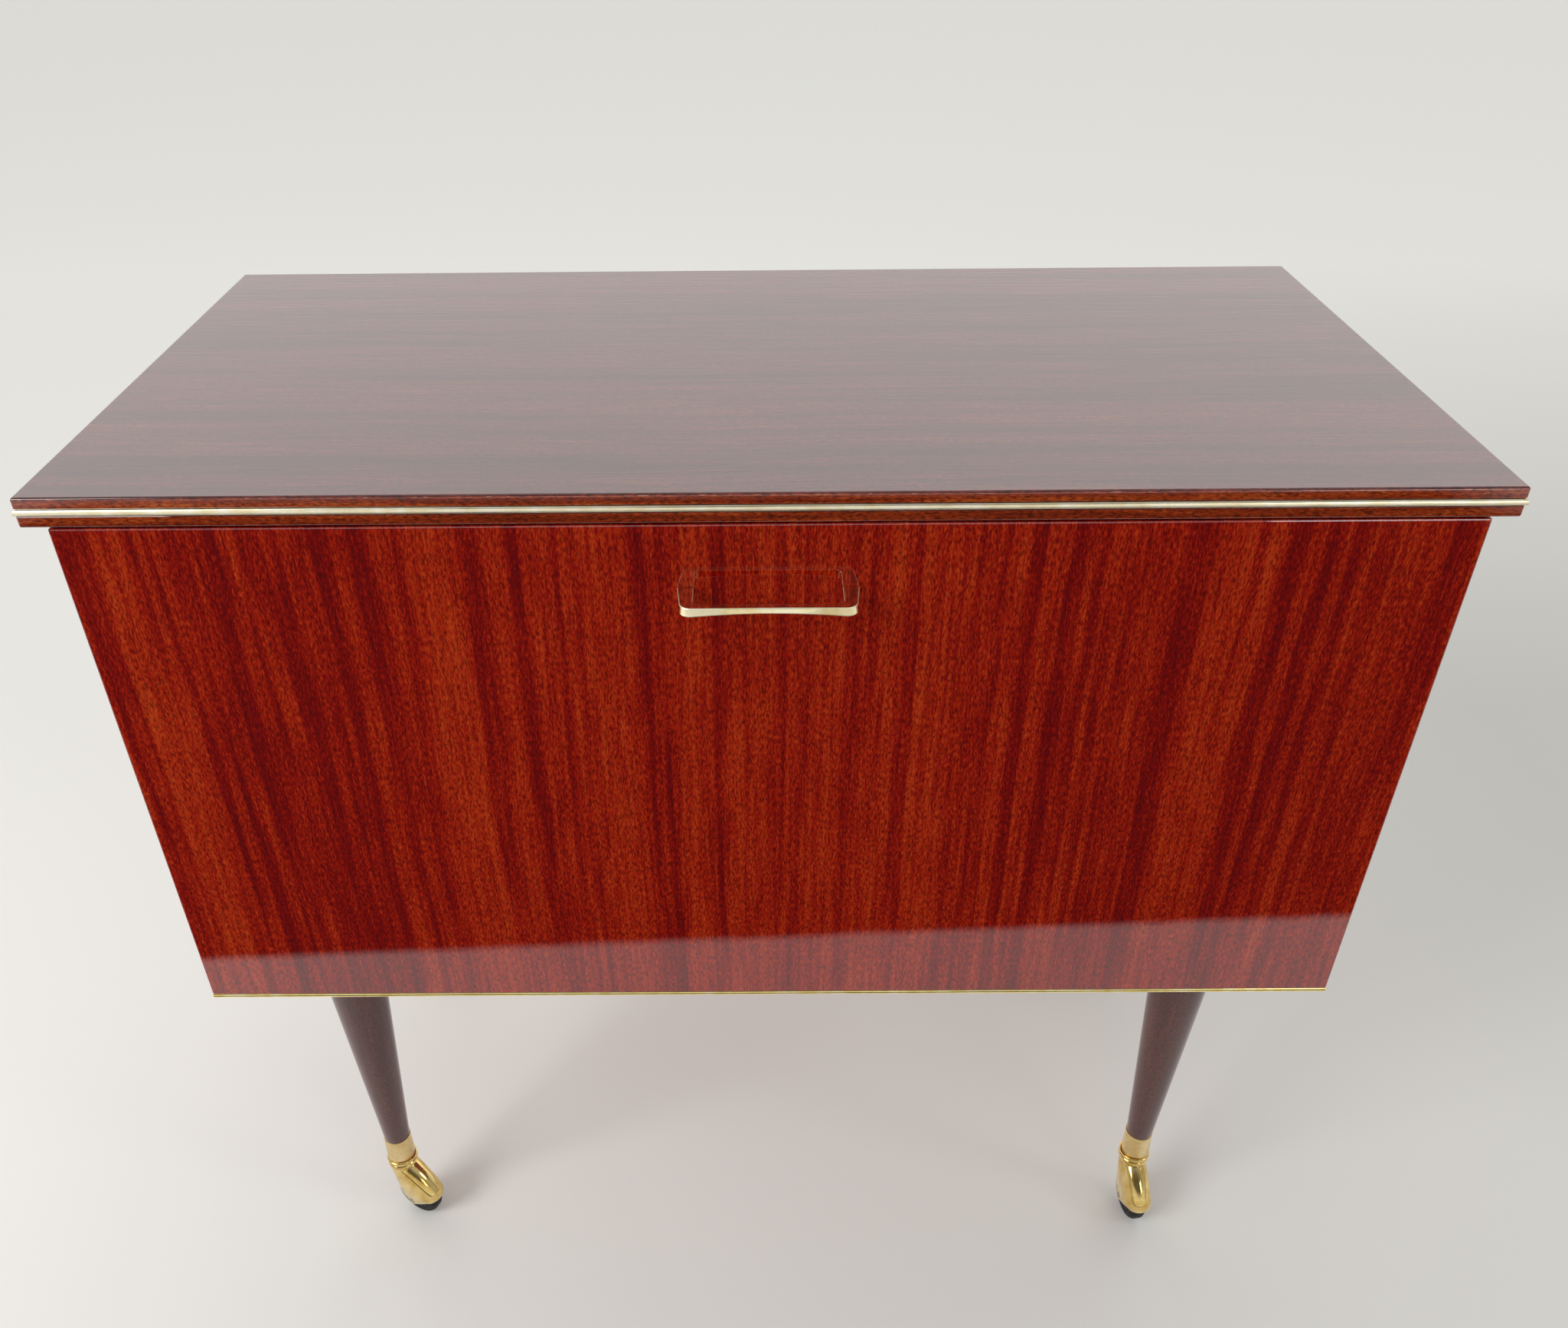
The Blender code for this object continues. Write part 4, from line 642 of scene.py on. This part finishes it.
# A sunk hub, a flat side with a fine groove where the tyre begins, and a rounded tread
wheel_profile = [(AXLE_HOLE, WHEEL_HALF - 0.0008), (0.0055, WHEEL_HALF - 0.0008), (0.0062, WHEEL_HALF)]
wheel_profile += [(0.0130, WHEEL_HALF), (0.0135, WHEEL_HALF - 0.0005), (0.0140, WHEEL_HALF)]
wheel_profile += corner_arc((WHEEL_RADIUS - TREAD, WHEEL_HALF - TREAD), TREAD, 90, 0, 9)
wheel_profile += [(r, -z) for r, z in reversed(wheel_profile)]
# Deep yellow gold with sharp highlights
polished_brass = worked_metal(
    "brass_cast_polished", 0.09, [(0.35, "#C4A25A"), (0.5, "#D8BB74"), (0.65, "#E3CB8A")],
    grain=UPRIGHT, spread=0.03, scratch=0.0009,
)


def moulded(name, mottle, detail, stops, roughness, lift, depth, specular):
    """Moulded rubber or plastic, faintly mottled in colour, gloss and height at a real size."""
    material, tree = blank(name)
    coords = node(tree, "TexCoord").outputs["Object"]
    cloud = node(tree, "TexNoise", {"Vector": coords, "Scale": 1 / mottle, "Detail": detail}).outputs["Fac"]
    colour = node(tree, "ValToRGB", {"Fac": cloud}, stops=stops)
    rough = node(tree, "MapRange", {"Value": cloud, "To Min": roughness[0], "To Max": roughness[1]})
    bump = node(tree, "Bump", {"Height": cloud, "Strength": lift, "Distance": depth})
    shader = node(
        tree, "BsdfPrincipled",
        {
            "Base Color": colour.outputs["Color"],
            "Roughness": rough.outputs[0],
            "Normal": bump.outputs[0],
            "Specular IOR Level": specular,
        },
    )
    node(tree, "OutputMaterial", {"Surface": shader.outputs[0]})
    return material


# Near black and dull all over
tyre = moulded(
    "rubber_moulded_black", 0.00455, 4.0, [(0.35, "#0B0B0D"), (0.68, "#19191C")],
    roughness=(0.45, 0.65), lift=0.15, depth=0.0003, specular=0.25,
)
for corner, heading in CORNERS.items():
    stand = Matrix.Translation(centre_of("leg_" + corner)) @ Matrix.Rotation(math.radians(heading), 4, "Z")
    mesh = hood_mesh.copy()
    mesh.transform(stand)
    add_piece(
        "cast_hood_" + corner, mesh, polished_brass, "caster_" + corner, "brass", "caster_hood_" + corner
    )
    mesh = turned("tyred_wheel_" + corner, wheel_profile, closed=True)
    mesh.transform(stand @ on_axle)
    add_piece(
        "tyred_wheel_" + corner, mesh, tyre, "wheel_" + corner, "wheel_rubber", "caster_wheel_" + corner
    )
    paint(zinc, "caster_axle_" + corner, "caster_stem_" + corner)

# The hinge: rolled brass strip with alternate knuckles on one plated pin, the whole width inside.
# One leaf is let into the floor's front edge and the other into the flap's lower edge.
paint(drawn_brass, "hinge_leaf_carcass", "hinge_leaf_flap")
paint(zinc, "hinge_pin")

# The flap: the same striped veneer, its ribbons upright, with a rebate for a brass strip below.
# The strip is drawn half-round brass, let in flush and pinned along the lower edge.
paint(upright_veneer, "flap_panel")
strip_low, strip_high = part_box("flap_bead")
strip_half = (strip_high.z - strip_low.z) / 2
strip_outline = [(strip_high.y, strip_high.z)]
strip_outline += corner_arc((strip_low.y + strip_half, strip_low.z + strip_half), strip_half, 90, 270, 17)
strip_outline += [(strip_high.y, strip_low.z)]
strip_rings = [[(x, y, z) for y, z in strip_outline] for x in (strip_low.x, strip_high.x)]
# Yellow gold, dark along its upper curve and bright along its nose
bright_brass = worked_metal(
    "brass_drawn_bright", 0.13, [(0.35, "#E6CE7C"), (0.5, "#F0DC94"), (0.65, "#F6E8B0")], spread=0.04
)
add_piece(
    "flap_edge_strip", skinned("flap_edge_strip", strip_rings, 32.0), bright_brass,
    "flap", "brass", "flap_bead",
)

# The handle: a cast brass bow on two feet, its bar arched below and thinnest in the middle.
# Its front face is filed to lean back, and flat faces with crisp edges are polished bright.
HANDLE_REACH, HANDLE_HALF, DRAFT, FOOT, BAR = 0.025, 0.0535, 0.0015, 0.010, 0.0056
WAIST_HEIGHT, EASE, LEAN, OUTER_BEND, INNER_BEND = 0.0033, 0.0007, 0.36, 0.007, 0.004
FOOT_SHARES, BAR_STEPS, CORNER_POINTS, FOOT_FACES = (0.0, 0.3, 0.6, 0.9), 8, 5, 6
handle_low, handle_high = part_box("handle")
END_HEIGHT = handle_high.z - handle_low.z
flap_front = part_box("flap_panel")[0].y
bar_back = HANDLE_REACH - BAR
outer_half, inner_half = HANDLE_HALF - DRAFT, HANDLE_HALF - FOOT
outer_rise, inner_rise = HANDLE_REACH - OUTER_BEND - CLEARANCE, bar_back - INNER_BEND - CLEARANCE
# Half of the bow's outer and inner lines, from a foot round its bend to the middle of the bar
outer_line = [(HANDLE_HALF - DRAFT * s, CLEARANCE + outer_rise * s) for s in FOOT_SHARES]
outer_line += corner_arc((outer_half - OUTER_BEND, HANDLE_REACH - OUTER_BEND), OUTER_BEND, 0, 90, 12)
inner_line = [(inner_half, CLEARANCE + inner_rise * s) for s in FOOT_SHARES]
inner_line += corner_arc((inner_half - INNER_BEND, bar_back - INNER_BEND), INNER_BEND, 0, 90, 12)
outer_end, inner_end = outer_line[-1][0], inner_line[-1][0]
for i in range(1, BAR_STEPS + 1):
    outer_line.append((outer_end * (1 - i / BAR_STEPS), HANDLE_REACH))
    inner_line.append((inner_end * (1 - i / BAR_STEPS), bar_back))
stations = list(zip(outer_line, inner_line))
stations += [((-a, b), (-c, d)) for (a, b), (c, d) in reversed(stations[:-1])]
handle_rings = []
for outer, inner in stations:
    outer, inner = Vector(outer), Vector(inner)
    along, depth = (outer - inner).normalized(), (outer - inner).length / 2
    bar_share = min(1.0, abs(inner.x) / inner_end)
    half = (WAIST_HEIGHT + (END_HEIGHT - WAIST_HEIGHT) * bar_share**2) / 2
    section = []
    for across, up, start in ((1, 1, 0), (-1, 1, 90), (-1, -1, 180), (1, -1, 270)):
        corner_centre = (across * (depth - EASE), up * (half - EASE))
        section += corner_arc(corner_centre, EASE, start, start + 90, CORNER_POINTS)
    ring = []
    for reach, height in section:
        lean = LEAN * max(0.0, along.y) * (height + half) * (1 + reach / depth) / 2
        spot = (outer + inner) / 2 + along * (reach - lean)
        ring.append((spot.x, flap_front - spot.y, handle_high.z - half + height))
    handle_rings.append(ring)
handle_mesh = skinned("bow_handle", handle_rings)
# Near-white gold where it meets the light, dark red where it meets the flap
mirror_brass = worked_metal(
    "brass_cast_mirror_polish", 0.08, [(0.35, "#E2CE98"), (0.5, "#EDDFB2"), (0.65, "#F3E9C6")], spread=0.04
)
# Pale and soft along the upper edges, outside and at the feet: a painted highlight where the eased edges
# catch the light
edge_glint_brass = worked_metal(
    "brass_cast_edges_painted_glint", 0.45, [(0.35, "#EBDCAE"), (0.5, "#F2E6C0"), (0.65, "#F7EFD2")], spread=0.06
)
handle_mesh.materials.append(mirror_brass)
handle_mesh.materials.append(edge_glint_brass)
# The painted highlight lies on the upper outer edge all along, and on the upper inner edge at the feet
round_points, lengths = 4 * CORNER_POINTS, len(stations) - 1
for face in handle_mesh.polygons[:round_points * lengths]:
    length, side = divmod(face.index, round_points)
    on_foot = min(length, lengths - 1 - length) < FOOT_FACES
    upper_outer, upper_inner = side < CORNER_POINTS - 1, CORNER_POINTS - 1 < side < 2 * CORNER_POINTS - 1
    if upper_outer or on_foot and upper_inner:
        face.material_index = 1
flatten_normals(add_piece("bow_handle", handle_mesh, mirror_brass, "flap", "brass", "handle"))

# The stays: slotted brass arms that pivot on brackets on the flap and slide on studs in the sides.
# Stamped from brass strip and polished; two screws hold each bracket.
BRACKET_SCREW, SCREW_IN, SCREW_UP, BRACKET_FACE = 0.0030, 0.008, 0.010, 0.0021
for side, sign in (("left", -1), ("right", 1)):
    paint(drawn_brass, "stay_arm_" + side, "stay_bracket_" + side)
    paint(polished_brass, "stay_rivet_" + side, "stay_stud_" + side)
    low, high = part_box("stay_bracket_" + side)
    flange_x = sign * (min(abs(low.x), abs(high.x)) + SCREW_IN)
    places = []
    for rise in (-SCREW_UP, SCREW_UP):
        point = Vector((flange_x, low.y + BRACKET_FACE, (low.z + high.z) / 2 + rise))
        places.append((point, (0, 1, 0)))
    screws("stay_bracket_screws_" + side, BRACKET_SCREW, drawn_brass, "flap", "brass", places)

# The catch: a bar magnet in a moulded case, screwed up into the front rail from below.
# It pulls a thin plated strike, which is glued to the inside of the flap.
# The case is brown plastic with a fine even grain and a soft sheen.
catch_case = moulded(
    "plastic_moulded_brown", 0.000714, 2.0, [(0.3, "#3A241B"), (0.7, "#4A3024")],
    roughness=(0.38, 0.55), lift=0.2, depth=0.0001, specular=0.5,
)
paint(catch_case, "catch_body")
paint(zinc, "catch_magnet", "strike_plate")

# The mirror and shelf: silvered glass against the back and a clear shelf on four brass pins.
# Faintly green all through, with cloudy smears in the polish that soften the reflections.


def float_glass(name, tint, metallic, transmission):
    """Float glass, clear or silvered, with faint cloudy smears in its polish."""
    material, tree = blank(name)
    coords = node(tree, "TexCoord").outputs["Object"]
    smear_width = 0.0714
    smear = node(tree, "TexNoise", {"Vector": coords, "Scale": 1 / smear_width, "Detail": 4.0})
    rough = node(tree, "MapRange", {"Value": smear.outputs["Fac"], "To Min": 0.0, "To Max": 0.03})
    colour = node(tree, "ValToRGB", {"Fac": smear.outputs["Fac"]}, stops=[(0.3, tint[0]), (0.7, tint[1])])
    shader = node(
        tree, "BsdfPrincipled",
        {
            "Base Color": colour.outputs["Color"],
            "Roughness": rough.outputs[0],
            "Metallic": metallic,
            "Transmission Weight": transmission,
            "IOR": 1.5,
        },
    )
    node(tree, "OutputMaterial", {"Surface": shader.outputs[0]})
    return material


# A bright, slightly cool reflection
silvered = float_glass("glass_silvered", ("#DDE3E0", "#E4E9E6"), metallic=1.0, transmission=0.0)
paint(silvered, "mirror")
# Almost invisible, with a green cast
clear = float_glass("glass_float_clear", ("#D6EAE2", "#E2F1EB"), metallic=0.0, transmission=1.0)
paint(clear, "glass_shelf")
paint(polished_brass, *["shelf_pin_" + corner for corner in CORNERS])

# The studio: a pale sheet on the floor of a room, with soft daylight all round.
# Mirrored rays alone see a painted dark patch just in front of the cabinet, so the flap mirrors a strip of
# sheet and then dark.
# Where the painted dark reflection lies on the floor, and how soft its edges are
DARK_REFLECTION_BACK, DARK_REFLECTION_FRONT, DARK_REFLECTION_SKEW, DARK_REFLECTION_HALF = -0.556, -1.85, 0.044, 1.35
BACK_FADE, FRONT_FADE, SIDE_FADE = 0.006, 0.2, 0.1
bpy.ops.mesh.primitive_plane_add(size=60.0, location=(0, 0, -0.0002))
floor = bpy.context.object
floor.name = "studio_floor"
floor_material, tree = blank("paper_sheet_pale")
floor_point = node(tree, "SeparateXYZ", {0: node(tree, "NewGeometry").outputs["Position"]})
floor_x, floor_y = floor_point.outputs["X"], floor_point.outputs["Y"]
skewed = node(tree, "Math", {0: floor_x, 1: DARK_REFLECTION_SKEW, 2: floor_y}, operation="MULTIPLY_ADD").outputs[0]
off_centre = node(tree, "Math", {0: floor_x}, operation="ABSOLUTE").outputs[0]
# Where the painted dark reflection lies: 1 on it, 0 beyond any of its edges
dark_reflection = 1.0
for distance, outside, inside in (
    (skewed, DARK_REFLECTION_BACK + BACK_FADE, DARK_REFLECTION_BACK - BACK_FADE),
    (skewed, DARK_REFLECTION_FRONT - FRONT_FADE, DARK_REFLECTION_FRONT + FRONT_FADE),
    (off_centre, DARK_REFLECTION_HALF + SIDE_FADE, DARK_REFLECTION_HALF - SIDE_FADE),
):
    within = node(tree, "MapRange", {"Value": distance, "From Min": outside, "From Max": inside}).outputs[0]
    dark_reflection = node(tree, "Math", {0: within, 1: dark_reflection}, operation="MULTIPLY").outputs[0]
# The sheet is painted darker away from the window, a painted shade for the light's falloff; far behind it
# rises into a paler backdrop
painted_falloff = node(tree, "MapRange", {"Value": floor_x, "From Min": -0.2, "From Max": 1.0}).outputs[0]
far = node(tree, "MapRange", {"Value": floor_y, "From Min": 0.6, "From Max": 2.6}).outputs[0]
sheet = node(tree, "Mix", {0: painted_falloff, 6: linear("#E8E7E3"), 7: linear("#D2D2CE")}, data_type="RGBA")
pale = node(tree, "Mix", {0: far, 6: sheet.outputs[2], 7: linear("#F6F6F2")}, data_type="RGBA")
# Only mirrored rays see these painted reflections: the sheet paler than it is, and the dark patch
painted_reflection = node(tree, "Mix", {0: dark_reflection, 6: linear("#F8F7F4"), 7: linear("#3A302C")}, data_type="RGBA")
mirrored = node(tree, "LightPath").outputs["Is Glossy Ray"]
shade = node(tree, "Mix", {0: mirrored, 6: pale.outputs[2], 7: painted_reflection.outputs[2]}, data_type="RGBA")
paper = node(tree, "BsdfDiffuse", {"Color": shade.outputs[2]})
node(tree, "OutputMaterial", {"Surface": paper.outputs[0]})
floor.data.materials.append(floor_material)

world = bpy.data.worlds.new("soft_daylight")
bpy.context.scene.world = world
world.use_nodes = True
sky_tree = world.node_tree
sky_tree.nodes.clear()
way = node(sky_tree, "SeparateXYZ", {0: node(sky_tree, "TexCoord").outputs["Generated"]})
# A pale backdrop behind the cabinet, brighter higher up, which the top mirrors; in linear light
BACKDROP_LOW, BACKDROP_HIGH = (1.39, 1.36, 1.33, 1), (1.73, 1.70, 1.66, 1)
SIDE_WALLS = (0.54, 0.54, 0.54, 1)
behind = node(
    sky_tree, "MapRange", {"Value": way.outputs["Y"], "From Min": 0.1, "From Max": 0.8},
    interpolation_type="SMOOTHSTEP",
).outputs[0]
upper = node(
    sky_tree, "MapRange", {"Value": way.outputs["Z"], "From Min": 0.29, "From Max": 0.46}
).outputs[0]
backdrop = node(sky_tree, "Mix", {0: upper, 6: BACKDROP_LOW, 7: BACKDROP_HIGH}, data_type="RGBA")
# A bright low wall ahead, which the handle and the bead mirror, under a dim upper room
ahead = node(
    sky_tree, "MapRange", {"Value": way.outputs["Y"], "From Min": -0.45, "From Max": -0.8},
    interpolation_type="SMOOTHSTEP",
).outputs[0]
wall = node(sky_tree, "ValToRGB", {"Fac": way.outputs["Z"]}, stops=[(0.28, "#F9F9F7"), (0.42, "#6B6966")])
room = node(sky_tree, "Mix", {0: ahead, 6: SIDE_WALLS, 7: wall.outputs[0]}, data_type="RGBA")
light = node(sky_tree, "Mix", {0: behind, 6: room.outputs[2], 7: backdrop.outputs[2]}, data_type="RGBA")
camera_ray = node(sky_tree, "LightPath").outputs["Is Camera Ray"]
air = node(sky_tree, "Mix", {0: camera_ray, 6: light.outputs[2], 7: linear("#DEDFDA")}, data_type="RGBA")
sky = node(sky_tree, "Background", {"Color": air.outputs[2], "Strength": 1.0})
node(sky_tree, "OutputWorld", {"Surface": sky.outputs[0]})


def softbox(name, place, aim, size, watts):
    """A square soft light that faces a point."""
    lamp = bpy.data.lights.new(name, "AREA")
    lamp.energy, lamp.shape, lamp.size = watts, "SQUARE", size
    box = bpy.data.objects.new(name, lamp)
    box.location = place
    box.rotation_euler = (Vector(aim) - Vector(place)).to_track_quat("-Z", "Y").to_euler()
    bpy.context.scene.collection.objects.link(box)


softbox("window_left", (-2.2, -1.6, 2.1), (0, 0, 0.4), size=1.4, watts=46)
softbox("window_right", (2.5, -1.0, 2.0), (0, 0, 0.2), size=0.6, watts=5)
softbox("window_front", (1.47, -2.25, 1.32), (0, 0, 0.2), size=0.6, watts=3)

# The camera: held above the front edge and looking down at the cabinet, as in the photograph.
# Its place, its angles in radians and its lens were fitted to the top, the flap and the legs.
CAMERA_PLACE, PITCH, YAW, ROLL = (-0.00766, -0.83496, 1.05578), 0.596616, -0.0056255, 0.0100723
lens = bpy.data.cameras.new("photo_camera")
lens.sensor_width, lens.lens = 36.0, 29.431
lens.shift_x = 0.0219
camera = bpy.data.objects.new("photo_camera", lens)
forward = Vector((math.sin(YAW) * math.cos(PITCH), math.cos(YAW) * math.cos(PITCH), -math.sin(PITCH)))
right_level = Vector((math.cos(YAW), -math.sin(YAW), 0.0))
down_level = forward.cross(right_level)
right = math.cos(ROLL) * right_level + math.sin(ROLL) * down_level
down = math.cos(ROLL) * down_level - math.sin(ROLL) * right_level
aim = Matrix((right, -down, -forward)).transposed().to_4x4()
camera.matrix_world = Matrix.Translation(CAMERA_PLACE) @ aim
bpy.context.scene.collection.objects.link(camera)
bpy.context.scene.camera = camera
bpy.context.scene.view_settings.view_transform = "Standard"
